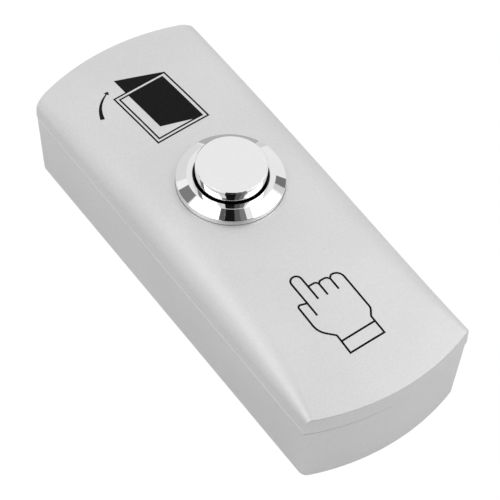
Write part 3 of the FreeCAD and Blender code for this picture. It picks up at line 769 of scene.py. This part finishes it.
def box_wall(z, extra=0.0):
    """The box's outer outline at a height: it leans in and its corners grow rounder downwards."""
    lower = (JOINT_Z - z) / JOINT_Z
    flush = BOX_STEP * (1 - lower)
    corner = BOX_CORNER + BOX_CORNER_GROWTH * lower
    return level_ring(BOX_STEP + BOX_DRAFT * lower + extra, corner, z, flush)


def upper_edge_rings():
    """Rings of the upper edge: a bevel along the sides that turns into a groove at the ends."""
    side = ((BOX_BEVEL, 0), (BOX_BEVEL / 2, BOX_BEVEL / 2), (0, BOX_BEVEL))
    end = ((GROOVE_HEIGHT, 0), (GROOVE_HEIGHT, GROOVE_DEPTH), (0, GROOVE_DEPTH))
    shares = [inward.x**2 for point, inward in outline(0, CRISP_EDGE)]
    rings = []
    for (end_down, end_in), (side_down, side_in) in zip(end, side):
        at_end = box_wall(JOINT_Z - end_down, end_in)
        at_side = box_wall(JOINT_Z - side_down, side_in)
        rings.append([between(a, b, share) for a, b, share in zip(at_end, at_side, shares)])
    return rings


def box_rings():
    rings = []
    for quarter_turn in (1, 0.75, 0.5, 0.25, 0):
        angle = math.pi / 2 * quarter_turn
        up, inwards = 1 - math.sin(angle), 1 - math.cos(angle)
        rings.append(box_wall(BOX_BACK_EDGE * up, BOX_BACK_EDGE * inwards))
    rings += [box_wall(z) for z in BOX_LEVELS]
    inside = [
        (LIP_INSET, JOINT_Z), (LIP_INSET, LIP_TOP - LIP_BEVEL), (LIP_INSET + LIP_BEVEL, LIP_TOP),
        (CAVITY_INSET - LIP_BEVEL, LIP_TOP), (CAVITY_INSET, LIP_TOP - LIP_BEVEL),
        (CAVITY_INSET, JOINT_Z), (CAVITY_INSET + CAVITY_DRAFT, BOX_FLOOR),
    ]
    return rings + upper_edge_rings() + [level_ring(inset, CAVITY_CORNER, z) for inset, z in inside]


box_points, box_faces = skin(box_rings(), False)
box_faces.append(tuple(range(AROUND)))
box_faces.append(tuple(range(len(box_points) - AROUND, len(box_points))))
box = make_piece("box_shell", box_points, box_faces, SATIN_SILVER)
print("box points:", len(box.data.vertices))

# %% [markdown]
# In the floor are two holes for the wall screws, each in a small pad, and one for the cable, with a
# collar that the wires bend round. The upper end wall has a countersunk hole for the cover screw,
# and the lower one a ledge for the hook. Each cutter flares where it meets a face, which leaves the
# small chamfer that a real hole has.

# %% Box features
CUT_PAST = 0.3
PAD_FOOT = 0.9
PAD_ROUND = 0.2
BOX_HOLES = {
    "lower_screw_way": {"y": -30.0, "hole_r": 2.1, "chamfer": 0.2, "pad_r": 4.2, "top": 2.5},
    "upper_screw_way": {"y": 30.0, "hole_r": 2.1, "chamfer": 0.2, "pad_r": 4.2, "top": 2.5},
    "cable_way": {"y": -17.0, "hole_r": 5.0, "chamfer": 0.3, "pad_r": 6.2, "top": 3.0},
}


def make_hole(name, y, hole_r, chamfer, pad_r, top):
    """A round pad on the box's floor and a hole through both, a little wider at its two faces."""
    corners = [(0, PAD_FOOT, 0), (pad_r, PAD_FOOT, 0), (pad_r, top, PAD_ROUND), (0, top, 0)]
    pad = turned(name + "_pad", rounded_path(corners, True), SATIN_SILVER, (0, y), 64)
    wide = hole_r + chamfer + CUT_PAST
    lower = [(0, -CUT_PAST), (wide, -CUT_PAST), (hole_r, chamfer)]
    profile = lower + [(radius, top - z) for radius, z in reversed(lower)]
    combine(box, pad, "UNION")
    combine(box, turned(name, profile, SATIN_SILVER, (0, y), 64), "DIFFERENCE")


for name, sizes in BOX_HOLES.items():
    make_hole(name, **sizes)
combine(box, block("ledge", (-4.5, -40.0, 10.4), (4.5, -37.4, 12.0), SATIN_SILVER, 0.1), "UNION")

SCREW_FACE_Y = cad("cover_screw", 1, 1)
SCREW_HEAD_R = cad("cover_screw", 1, 0)
SINK_R = 1.7
SINK_WIDE_R = 3.3
SINK_FROM, SINK_TO = 36, 43
flare = [(SINK_R, SCREW_FACE_Y - 1.2), (SINK_WIDE_R, SCREW_FACE_Y + 0.4)]
sink = [(0, SINK_FROM), (SINK_R, SINK_FROM)] + flare + [(SINK_WIDE_R, SINK_TO), (0, SINK_TO)]
combine(box, turned("sink", sink, SATIN_SILVER, (0, SCREW_Z), 64, "Y"), "DIFFERENCE")
shade(box)
even_shading(box)
hold(box, "housing", "housing_satin", "back_box")

# %% [markdown]
# ## The bezel and its barrel
# The bezel is the chromed head of the switch: an upright rim, a cone, and a narrow flat ring round
# the button. It is turned on a lathe in one piece with the threaded barrel, so its profile is drawn
# once and spun round the axis. The tiny roundings between rim, cone and ring give the bright lines
# that polished edges show. The thread is cut as plain grooves, which look the same from outside.

# %% Bezel
BEZEL_FACE_R = 7.25
BEZEL_RIM_Z = SEAT_Z + 1.33
BEZEL_FLANGE_Z = BEZEL_TOP - 1.5
GASKET_OUTER_R = 8.7
GASKET_INNER_R = 8.1
GASKET_TOP = SEAT_Z + 0.5
BARREL_R = 8.0
BARREL_BORE_R = 6.95
BARREL_CHAMFER = 0.3
BARREL_PITCH = 1.0
BARREL_GROOVE = ((0, 0), (0.2, 0), (0.6, 0.3))
PLAIN_END = 0.4


def thread(radius, high, low, pitch, groove):
    """Grooves from high down to low. groove lists drops and depths within one turn."""
    turns = int((high - low) / pitch)
    places = product(range(turns), groove)
    corners = [(radius - deep, high - k * pitch - drop, 0) for k, (drop, deep) in places]
    return corners + [(radius, high - turns * pitch, 0)]


bezel_corners = [
    (BARREL_BORE_R, BARREL_END, 0), (BARREL_BORE_R, BEZEL_FLANGE_Z, 0),
    (BEZEL_HOLE_R, BEZEL_FLANGE_Z, 0), (BEZEL_HOLE_R, BEZEL_TOP, 0.16),
    (BEZEL_FACE_R, BEZEL_TOP, 0.18), (BEZEL_R, BEZEL_RIM_Z, 0.12), (BEZEL_R, SEAT_Z, 0.03),
    (GASKET_OUTER_R, SEAT_Z, 0), (GASKET_OUTER_R, GASKET_TOP, 0),
    (GASKET_INNER_R, GASKET_TOP, 0), (GASKET_INNER_R, SEAT_Z, 0), (BARREL_R, SEAT_Z, 0),
]
thread_end = BARREL_END + PLAIN_END
bezel_corners += thread(BARREL_R, NUT_SEAT_Z, thread_end, BARREL_PITCH, BARREL_GROOVE)
bezel_corners += [(BARREL_R - BARREL_CHAMFER, BARREL_END, 0)]
about_button("bezel_and_barrel", bezel_corners, POLISHED_CHROME, "housing", "switch_barrel")

# %% [markdown]
# ## The button cap
# The cap is a turned cup. Its pressing face is flat, with a small bevel round it, and its skirt
# spreads out below the bezel, which keeps it from coming out.

# %% Button cap
CAP_R = 5.95
CAP_BEVEL = 0.15
CAP_BEVEL_IN = 0.3
CAP_HOLLOW_R = CAP_R - 0.9
CAP_HOLLOW_Z = CAP_TOP - 1.2
SKIRT_TOP = CAP_BOTTOM + 1.2
cap_corners = [
    (0, CAP_HOLLOW_Z, 0), (CAP_HOLLOW_R, CAP_HOLLOW_Z, 0.2), (CAP_HOLLOW_R, CAP_BOTTOM, 0.1),
    (CAP_SKIRT_R, CAP_BOTTOM, 0.15), (CAP_SKIRT_R, SKIRT_TOP, 0.15), (CAP_R, SKIRT_TOP, 0),
    (CAP_R, CAP_TOP - CAP_BEVEL, 0.06), (CAP_R - CAP_BEVEL, CAP_TOP, 0.06),
    (CAP_R - CAP_BEVEL - CAP_BEVEL_IN, CAP_TOP, 0), (0, CAP_TOP, 0),
]
about_button("push_cap", cap_corners, BUTTON_CHROME, "plunger", "button_cap")

# %% [markdown]
# ## The cover screw
# One countersunk screw in the upper end holds the cover. Its head is turned and its cross recess is
# cut with two thin blocks. The thread is grooves, as on the barrel.

# %% Cover screw
SCREW_SHANK_R = 1.47
SCREW_END_Y = cad("cover_screw", 0, 1)
SCREW_RIM_Y = SCREW_FACE_Y - 0.12
SCREW_NECK_Y = SCREW_FACE_Y - 1.5
SCREW_THREAD_Y = SCREW_FACE_Y - 1.9
SCREW_PITCH = 0.5
SCREW_GROOVE = ((0, 0), (0.25, 0.28))
RECESS_LONG = 1.6
RECESS_NARROW = 0.35
RECESS_DEEP_Y = SCREW_FACE_Y - 0.9

screw_corners = [
    (0, SCREW_FACE_Y, 0), (SCREW_HEAD_R, SCREW_FACE_Y, 0.08),
    (SCREW_HEAD_R, SCREW_RIM_Y, 0), (SCREW_SHANK_R, SCREW_NECK_Y, 0),
]
thread_end = SCREW_END_Y + PLAIN_END
screw_corners += thread(SCREW_SHANK_R, SCREW_THREAD_Y, thread_end, SCREW_PITCH, SCREW_GROOVE)
screw_corners += [(SCREW_SHANK_R - PLAIN_END, SCREW_END_Y, 0), (0, SCREW_END_Y, 0)]
screw_profile = rounded_path(screw_corners, True)
screw = turned("locking_screw", screw_profile, ZINC_PLATE, (0, SCREW_Z), 64, "Y")
for half_x, half_z in ((RECESS_LONG, RECESS_NARROW), (RECESS_NARROW, RECESS_LONG)):
    low = (-half_x, RECESS_DEEP_Y, SCREW_Z - half_z)
    high = (half_x, SCREW_FACE_Y + 0.5, SCREW_Z + half_z)
    combine(screw, block("recess", low, high, ZINC_PLATE, 0.05), "DIFFERENCE")
shade(screw)
even_shading(screw)
hold(screw, "housing", "plated_steel", "cover_screw")

# %% [markdown]
# ## The return spring
# A spring is a wire that follows a rule, so Geometry Nodes make it: a spiral curve gives the path,
# and a small circle is swept along it. Each size is a named input of the tree. The result is turned
# into a plain mesh and moves with the housing.

# %% Geometry Nodes helpers
def start_tree(name, sizes):
    """A tree with a geometry input, named number inputs, a material input, and an output."""
    tree = bpy.data.node_groups.new(name, "GeometryNodeTree")
    tree.interface.new_socket("Geometry", in_out="INPUT", socket_type="NodeSocketGeometry")
    for label in sizes:
        tree.interface.new_socket(label, in_out="INPUT", socket_type="NodeSocketFloat")
    tree.interface.new_socket("Finish", in_out="INPUT", socket_type="NodeSocketMaterial")
    tree.interface.new_socket("Geometry", in_out="OUTPUT", socket_type="NodeSocketGeometry")
    return tree, tree.nodes.new("NodeGroupInput").outputs


def end_tree(tree, geometry, finish):
    """Realizes what the tree made, gives it its material, and sends it to the output."""
    real = output(tree, "GeometryNodeRealizeInstances", {"Geometry": geometry})
    dressed = output(tree, "GeometryNodeSetMaterial", {"Geometry": real, "Material": finish})
    add_node(tree, "NodeGroupOutput", {"Geometry": dressed})
    print(tree.name, "nodes:", len(tree.nodes))


def grow(piece, tree, sizes, finish):
    """Runs a tree on a piece with these inputs, and keeps the result as a plain mesh."""
    modifier = piece.modifiers.new(tree.name, "NODES")
    modifier.node_group = tree
    values = {**sizes, "Finish": finish}
    for item in tree.interface.items_tree:
        if item.in_out == "INPUT" and item.name in values:
            modifier[item.identifier] = values[item.name]
    bake(piece)


# %% Spring
SPRING_R = 3.6
SPRING_WIRE_R = 0.35
SPRING_BOTTOM = cad("return_spring", 0, 2)
SPRING_LENGTH = cad("return_spring", 1, 2) - SPRING_BOTTOM
SPRING_SIZES = {
    "Coil Radius": SPRING_R * MM,
    "Wire Radius": SPRING_WIRE_R * MM,
    "Turns": 5.0,
    "Height": (SPRING_LENGTH - 2 * SPRING_WIRE_R) * MM,
    "Bottom": (SPRING_BOTTOM + SPRING_WIRE_R) * MM,
    "Centre": BUTTON_Y * MM,
}

spring_tree, given = start_tree("coil spring", SPRING_SIZES)
sockets = {"Resolution": 48, "Rotations": given["Turns"], "Height": given["Height"]}
sockets |= {end: given["Coil Radius"] for end in ("Start Radius", "End Radius")}
spiral = output(spring_tree, "GeometryNodeCurveSpiral", sockets)
sockets = {"Resolution": 20, "Radius": given["Wire Radius"]}
wire = output(spring_tree, "GeometryNodeCurvePrimitiveCircle", sockets)
sockets = {"Curve": spiral, "Profile Curve": wire, "Fill Caps": True}
swept = output(spring_tree, "GeometryNodeCurveToMesh", sockets)
place = output(spring_tree, "ShaderNodeCombineXYZ", {"Y": given["Centre"], "Z": given["Bottom"]})
moved = output(spring_tree, "GeometryNodeTransform", {"Geometry": swept, "Translation": place})
end_tree(spring_tree, moved, given["Finish"])

spring = in_scene("coil_spring", bpy.data.meshes.new("coil_spring"))
grow(spring, spring_tree, SPRING_SIZES, SPRING_WIRE)
shade(spring, 60)
hold(spring, "housing", "spring_steel", "return_spring")
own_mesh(spring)

# %% [markdown]
# ## The pictograms
# Both are drawn flat first, from a few corner points: a line becomes a strip with mitred corners,
# and the door's leaf a patch of small faces. Then one Geometry Nodes tree lays any drawing on the
# dome: it lifts every point to the sphere's height, and thickens the whole to the depth of the ink.
# Such a print is made like that too: a soft pad picks the image up and presses it on the cover.

# %% Ink on the dome
INK = 0.02
WELD = 0.000001
INK_SIZES = {"Dome Radius": DOME_R * MM, "Dome Centre": DOME_Z * MM, "Ink": INK * MM}

ink_tree, given = start_tree("ink on a dome", INK_SIZES)
position = output(ink_tree, "GeometryNodeInputPosition")
parts = add_node(ink_tree, "ShaderNodeSeparateXYZ", {"Vector": position}).outputs
lengths = (parts["X"], parts["Y"], given["Dome Radius"])
squares = [calculate(ink_tree, "MULTIPLY", length, length) for length in lengths]
rest = calculate(ink_tree, "SUBTRACT", squares[2], calculate(ink_tree, "ADD", *squares[:2]))
height = calculate(ink_tree, "ADD", calculate(ink_tree, "SQRT", rest), given["Dome Centre"])
on_dome = output(ink_tree, "ShaderNodeCombineXYZ", {"X": parts["X"], "Y": parts["Y"], "Z": height})
sockets = {"Geometry": given["Geometry"], "Position": on_dome}
laid = output(ink_tree, "GeometryNodeSetPosition", sockets)
ink_up = output(ink_tree, "ShaderNodeCombineXYZ", {"Z": given["Ink"]})
sockets = {"Mesh": laid, "Offset": ink_up, "Individual": False}
film = output(ink_tree, "GeometryNodeExtrudeMesh", sockets)
under = output(ink_tree, "GeometryNodeFlipFaces", {"Mesh": laid})
joined = add_node(ink_tree, "GeometryNodeJoinGeometry", {"Geometry": film})
feed(joined, {"Geometry": under})
sockets = {"Geometry": joined.outputs[0], "Distance": WELD}
welded = output(ink_tree, "GeometryNodeMergeByDistance", sockets)
end_tree(ink_tree, welded, given["Finish"])


# %% Flat drawings
LEAST_MITRE = 0.4


def divide(path, longest=1.0):
    """The path with extra points, so that no run is longer than that many millimetres."""
    points = [Vector(path[0][:2])]
    for start, end in zip(path, path[1:]):
        a, b = Vector(start[:2]), Vector(end[:2])
        pieces = max(1, math.ceil((b - a).length / longest))
        points += [a.lerp(b, k / pieces) for k in range(1, pieces + 1)]
    return points


def ladder(left, right, closed=False):
    """The points of a line's two edges, and the faces that join them as rungs join two rails."""
    count = len(left)
    pairs = [(i, (i + 1) % count) for i in range(count if closed else count - 1)]
    return left + right, [(count + i, count + j, j, i) for i, j in pairs]


def stroke(path, width, closed=False):
    """A flat line of one width, with mitred corners."""
    points = divide(list(path) + [path[0]])[:-1] if closed else divide(path)
    count = len(points)
    left, right = [], []
    for i, here in enumerate(points):
        before = points[i - 1] if closed or i > 0 else here
        after = points[(i + 1) % count] if closed or i < count - 1 else here
        into = (here - before).normalized() if here != before else (after - here).normalized()
        out = (after - here).normalized() if after != here else into
        side = Vector((-into.y - out.y, into.x + out.x)).normalized()
        reach = width / 2 / max(LEAST_MITRE, side.dot(Vector((-into.y, into.x))))
        left.append(here + side * reach)
        right.append(here - side * reach)
    return ladder(left, right, closed)


def tapered(path, width, end_width):
    """A curved line whose width changes evenly from its start to its end."""
    points = divide(path, longest=0.4)
    last = len(points) - 1
    left, right = [], []
    for i, here in enumerate(points):
        along = (points[min(i + 1, last)] - points[max(i - 1, 0)]).normalized()
        half = (width + (end_width - width) * i / last) / 2
        side = Vector((-along.y, along.x)) * half
        left.append(here + side)
        right.append(here - side)
    return ladder(left, right)


def patch(corners, rows=12, columns=10):
    """Small faces that fill four corners, given anticlockwise."""
    a, b, c, d = (Vector(corner) for corner in corners)
    points = []
    for i in range(rows + 1):
        start, end = a.lerp(d, i / rows), b.lerp(c, i / rows)
        points += [start.lerp(end, j / columns) for j in range(columns + 1)]
    wide = columns + 1
    starts = [i * wide + j for i in range(rows) for j in range(columns)]
    return points, [(k, k + 1, k + wide + 1, k + wide) for k in starts]


def print_on_cover(name, drawing):
    """Lays a flat drawing on the dome as a film of ink."""
    points, faces = drawing
    mesh = bpy.data.meshes.new(name)
    mesh.from_pydata([(p.x * MM, p.y * MM, 0) for p in points], [], faces)
    mark = in_scene(name, mesh)
    grow(mark, ink_tree, INK_SIZES, PRINTING_INK)
    hold(mark, "housing", "black_plastic")


# %% [markdown]
# The door pictogram shows a frame of two fine lines, with the leaf swung open across it and an
# arrow for its swing. The whole frame was printed two degrees askew, which the drawing keeps. The
# leaf is cut in two where the frame's light edge crosses it. Its part inside the frame has five
# corners, so it is made of a slanted patch and a strip beside it.

# %% Door pictogram
DOOR_TILT = math.radians(2.0)
DOOR_CENTRE = Vector((-0.1, 24.75))
FRAME_LINE = 0.29
HALF_LINE = FRAME_LINE / 2
OUTER_X, OUTER_Y = 5.12, 6.16
INNER_X, INNER_Y = 4.45, 5.5
LEAF_X = -2.75
LEAF_FOOT_Y = -3.45
LEAF_MEETS_X = 3.4
LEAF_LOW_Y = -INNER_Y - HALF_LINE
LEAF_HIGH_Y = INNER_Y + HALF_LINE
LEAF_TIP_Y = OUTER_Y + 3.52


def tilted(*places):
    """Points of the upright drawing, turned with the door's frame."""
    return [DOOR_CENTRE + Matrix.Rotation(DOOR_TILT, 2) @ Vector(place) for place in places]


outer = tilted((-OUTER_X, -OUTER_Y), (OUTER_X, -OUTER_Y), (OUTER_X, OUTER_Y), (-OUTER_X, OUTER_Y))
print_on_cover("door_frame_outer", stroke(outer, FRAME_LINE, closed=True))
inner = tilted((LEAF_X, INNER_Y), (-INNER_X, INNER_Y), (-INNER_X, -INNER_Y), (INNER_X, -INNER_Y))
print_on_cover("door_frame_inner", stroke(inner, FRAME_LINE))
low, high = (LEAF_MEETS_X, LEAF_LOW_Y), (LEAF_MEETS_X, LEAF_HIGH_Y)
slanted = tilted((LEAF_X, LEAF_FOOT_Y), low, high, (LEAF_X, LEAF_HIGH_Y))
print_on_cover("door_leaf", patch(slanted))
beside = tilted(low, (INNER_X, LEAF_LOW_Y), (INNER_X, LEAF_HIGH_Y), high)
print_on_cover("door_leaf_edge", patch(beside, columns=2))
above = tilted(
    (LEAF_X, OUTER_Y - HALF_LINE),
    (OUTER_X, OUTER_Y - HALF_LINE),
    (OUTER_X, OUTER_Y + HALF_LINE),
    (LEAF_X + 0.08, LEAF_TIP_Y),
)
print_on_cover("door_leaf_top", patch(above))

# %% Swing arrow
arrow_path = rounded_path([(-9.5, 28.1, 0), (-8.4, 31.0, 6.5), (-5.8, 32.55, 0)], steps=12)
print_on_cover("swing_arrow", tapered(arrow_path, 0.76, 0.22))
arrow_head = [(-6.1, 32.92), (-5.55, 32.1), (-5.27, 32.86), (-5.4, 32.9)]
print_on_cover("swing_arrow_head", patch(arrow_head, 2, 2))

# %% [markdown]
# The hand points with one finger and wears a cuff. Its outline is a handful of straight runs with
# rounded corners, the way a sign-maker draws it with one pen.

# %% Hand pictogram
HAND_LINE = 0.34
hand_strokes = {
    "finger": [(-3.6, -23.9, 0), (-3.7, -16.05, 0.97), (-1.72, -16.05, 0.97), (-1.65, -21.5, 0)],
    "first_knuckle": [(-1.68, -18.78, 0), (0.1, -18.72, 0.7), (0.12, -21.65, 0)],
    "second_knuckle": [(0.1, -19.3, 0), (0.5, -18.87, 0.5), (1.75, -18.87, 0.7), (2.22, -19.45, 0)],
    "third_finger": [(2.22, -19.35, 0), (2.25, -21.7, 0)],
    "palm": [
        (2.18, -19.35, 0), (2.7, -18.87, 0.6), (4.35, -18.87, 1.4), (4.5, -27.2, 1.2),
        (3.62, -28.5, 0.8), (3.7, -31.98, 0), (-3.12, -32.18, 0), (-3.1, -28.5, 0.4),
        (-5.3, -26.4, 3.2), (-5.32, -20.75, 0.45), (-3.62, -21.25, 0),
    ],
    "cuff": [(-3.1, -29.75, 0), (3.65, -29.52, 0)],
}
for part, corners in hand_strokes.items():
    print_on_cover("hand_" + part, stroke(rounded_path(corners, steps=8), HAND_LINE))

# %% [markdown]
# ## The inner pieces
# The nut, washer, terminal block and contacts keep their CAD shapes, which are already right. Each
# only needs its finish, which is put in its object's material slot.

# %% Inner pieces
CLAMPS = ("wire_clamp_left", "wire_clamp_right", "terminal_screws")
INNER_FINISHES = (
    (BLACK_RUBBER, ("bezel_gasket",)),
    (BLACK_PLASTIC, ("guide_insulator", "terminal_block", "plunger_stem")),
    (ZINC_PLATE, ("lock_washer", "hex_nut", "stem_washer") + CLAMPS),
    (SPRING_WIRE, ("snap_ring",)),
    (BRASS, ("fixed_contact_left", "fixed_contact_right", "contact_bridge")),
    (SILVER, ("contact_tips",)),
)
for finish, nodes in INNER_FINISHES:
    for node in nodes:
        for material_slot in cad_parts[node].material_slots:
            material_slot.material = finish
    print(finish.name, "on", ", ".join(nodes))

# %% [markdown]
# ## The studio
# Polished metal shows the studio as much as itself. Such a studio is a white tent with two soft
# boxes and the dark camera looking in, and the bezel's cone repeats them all: white, a black patch
# towards the camera, and grey gaps between the panels. The floor is pale, and shows to the camera
# and in mirrors a little lighter than the lamps alone would make it.

# %% Floor
FLOOR_HALF = 1200
FLOOR_TONE = 0.85
FLOOR_GLOW = 1.03
GLOW_TO_CAMERA = 0.97
GLOW_IN_MIRRORS = 0.35


def floor_finish():
    base = {"Roughness": 0.9, "Base Color": (FLOOR_TONE, FLOOR_TONE, FLOOR_TONE, 1)}
    material, tree, shader = start_finish("pale_floor", base)
    rays = add_node(tree, "ShaderNodeLightPath").outputs
    mirrored = calculate(tree, "MAXIMUM", rays["Is Glossy Ray"], rays["Is Transmission Ray"])
    mirrored = calculate(tree, "MULTIPLY", mirrored, GLOW_IN_MIRRORS)
    direct = calculate(tree, "MULTIPLY", rays["Is Camera Ray"], GLOW_TO_CAMERA)
    share = calculate(tree, "MAXIMUM", direct, mirrored)
    white = output(tree, "ShaderNodeEmission", {"Color": (1, 1, 1, 1), "Strength": FLOOR_GLOW})
    mixed = output(tree, "ShaderNodeMixShader", {0: share, 1: shader.outputs[0], 2: white})
    feed(tree.nodes["Material Output"], {"Surface": mixed})
    return material


square = [(x * FLOOR_HALF, y * FLOOR_HALF, 0) for x, y in ((-1, -1), (1, -1), (1, 1), (-1, 1))]
floor = make_piece("studio_floor", square, [(0, 1, 2, 3)], floor_finish())
print("floor normal:", tuple(floor.data.polygons[0].normal))

# %% [markdown]
# The two soft boxes are real lamps, one on each side, and give the housing its direction. The
# camera, the gaps and the folds of the tent are cards that only reflections show, so they can be
# placed by what the chrome mirrors, and change nothing else.

# %% Lamps and cards
LAMP_FAR = 0.9
CARD_FAR = 0.7
CARD_NEAR = 0.16


def direction(azimuth, elevation):
    """Unit vector: azimuth is measured from +X towards +Y, elevation up from the floor."""
    a, e = math.radians(azimuth), math.radians(elevation)
    return Vector((math.cos(a) * math.cos(e), math.sin(a) * math.cos(e), math.sin(e)))


def soft_box(name, azimuth, elevation, width, height, brightness):
    """A large soft lamp that faces the object. brightness is what a mirror would show."""
    lamp = in_scene(name, bpy.data.lights.new(name, "AREA"))
    lamp.data.shape = "RECTANGLE"
    lamp.data.size = width
    lamp.data.size_y = height
    lamp.data.energy = brightness * math.pi * width * height
    lamp.location = direction(azimuth, elevation) * LAMP_FAR
    lamp.rotation_euler = (-direction(azimuth, elevation)).to_track_quat("-Z", "Y").to_euler()


def card(name, azimuths, elevations, tone, distance=CARD_FAR):
    """A card that only reflections show, between two azimuths and two elevations."""
    (left, right), (low, high) = azimuths, elevations
    turns = ((left, low), (right, low), (right, high), (left, high))
    corners = [direction(a, e) * distance / MM for a, e in turns]
    material, tree = start_finish(name, {})[:2]
    glow = {"Color": (tone, tone, tone, 1), "Strength": 1.0}
    shading = output(tree, "ShaderNodeEmission", glow)
    feed(tree.nodes["Material Output"], {"Surface": shading})
    sheet = make_piece(name, corners, [(0, 1, 2, 3)], material)
    for rays in ("camera", "diffuse", "transmission", "shadow"):
        setattr(sheet, "visible_" + rays, False)


soft_box("soft_box_left", 170, 59, 0.56, 0.40, 1.9)
soft_box("soft_box_right", -38, 50, 0.62, 0.45, 2.2)
card("camera_black", (218, 247), (-1, 78), 0.01, CARD_NEAR)
card("camera_grey", (247, 263), (-1, 78), 0.12, CARD_NEAR)
card("camera_pale_grey", (263, 278), (-1, 78), 0.23, CARD_NEAR)
card("stand_grey", (203, 218), (60, 78), 0.12, CARD_NEAR)
card("tent_gap_left", (118.5, 139), (20, 60), 0.25)
card("tent_strip", (109, 118.5), (10, 60), 1.08)
card("tent_left", (70, 109), (2, 36), 0.86)
card("tent_fold_right", (-11, -4), (14, 42), 0.76)
card("tent_gap_right", (-4, 6), (14, 42), 0.21)
card("far_table", (41, 80), (0.5, 7.6), 0.52, CARD_NEAR)

# %% [markdown]
# The world stands for the tent's cloth. Seen by the camera or in a mirror it is white, and it
# lights the object evenly from all round at about half that strength.

# %% World
TENT_LIGHT = 0.55

world = bpy.data.worlds.new("studio")
world.use_nodes = True
tree = world.node_tree
rays = add_node(tree, "ShaderNodeLightPath").outputs
seen = calculate(tree, "MAXIMUM", rays["Is Camera Ray"], rays["Is Glossy Ray"])
seen = calculate(tree, "MAXIMUM", seen, rays["Is Transmission Ray"])
strength = blend(tree, seen, TENT_LIGHT, 1.0)
feed(tree.nodes["Background"], {"Color": (1, 1, 1, 1), "Strength": strength})
bpy.context.scene.world = world
bpy.context.scene.view_settings.view_transform = "Standard"
print("view transform:", bpy.context.scene.view_settings.view_transform)
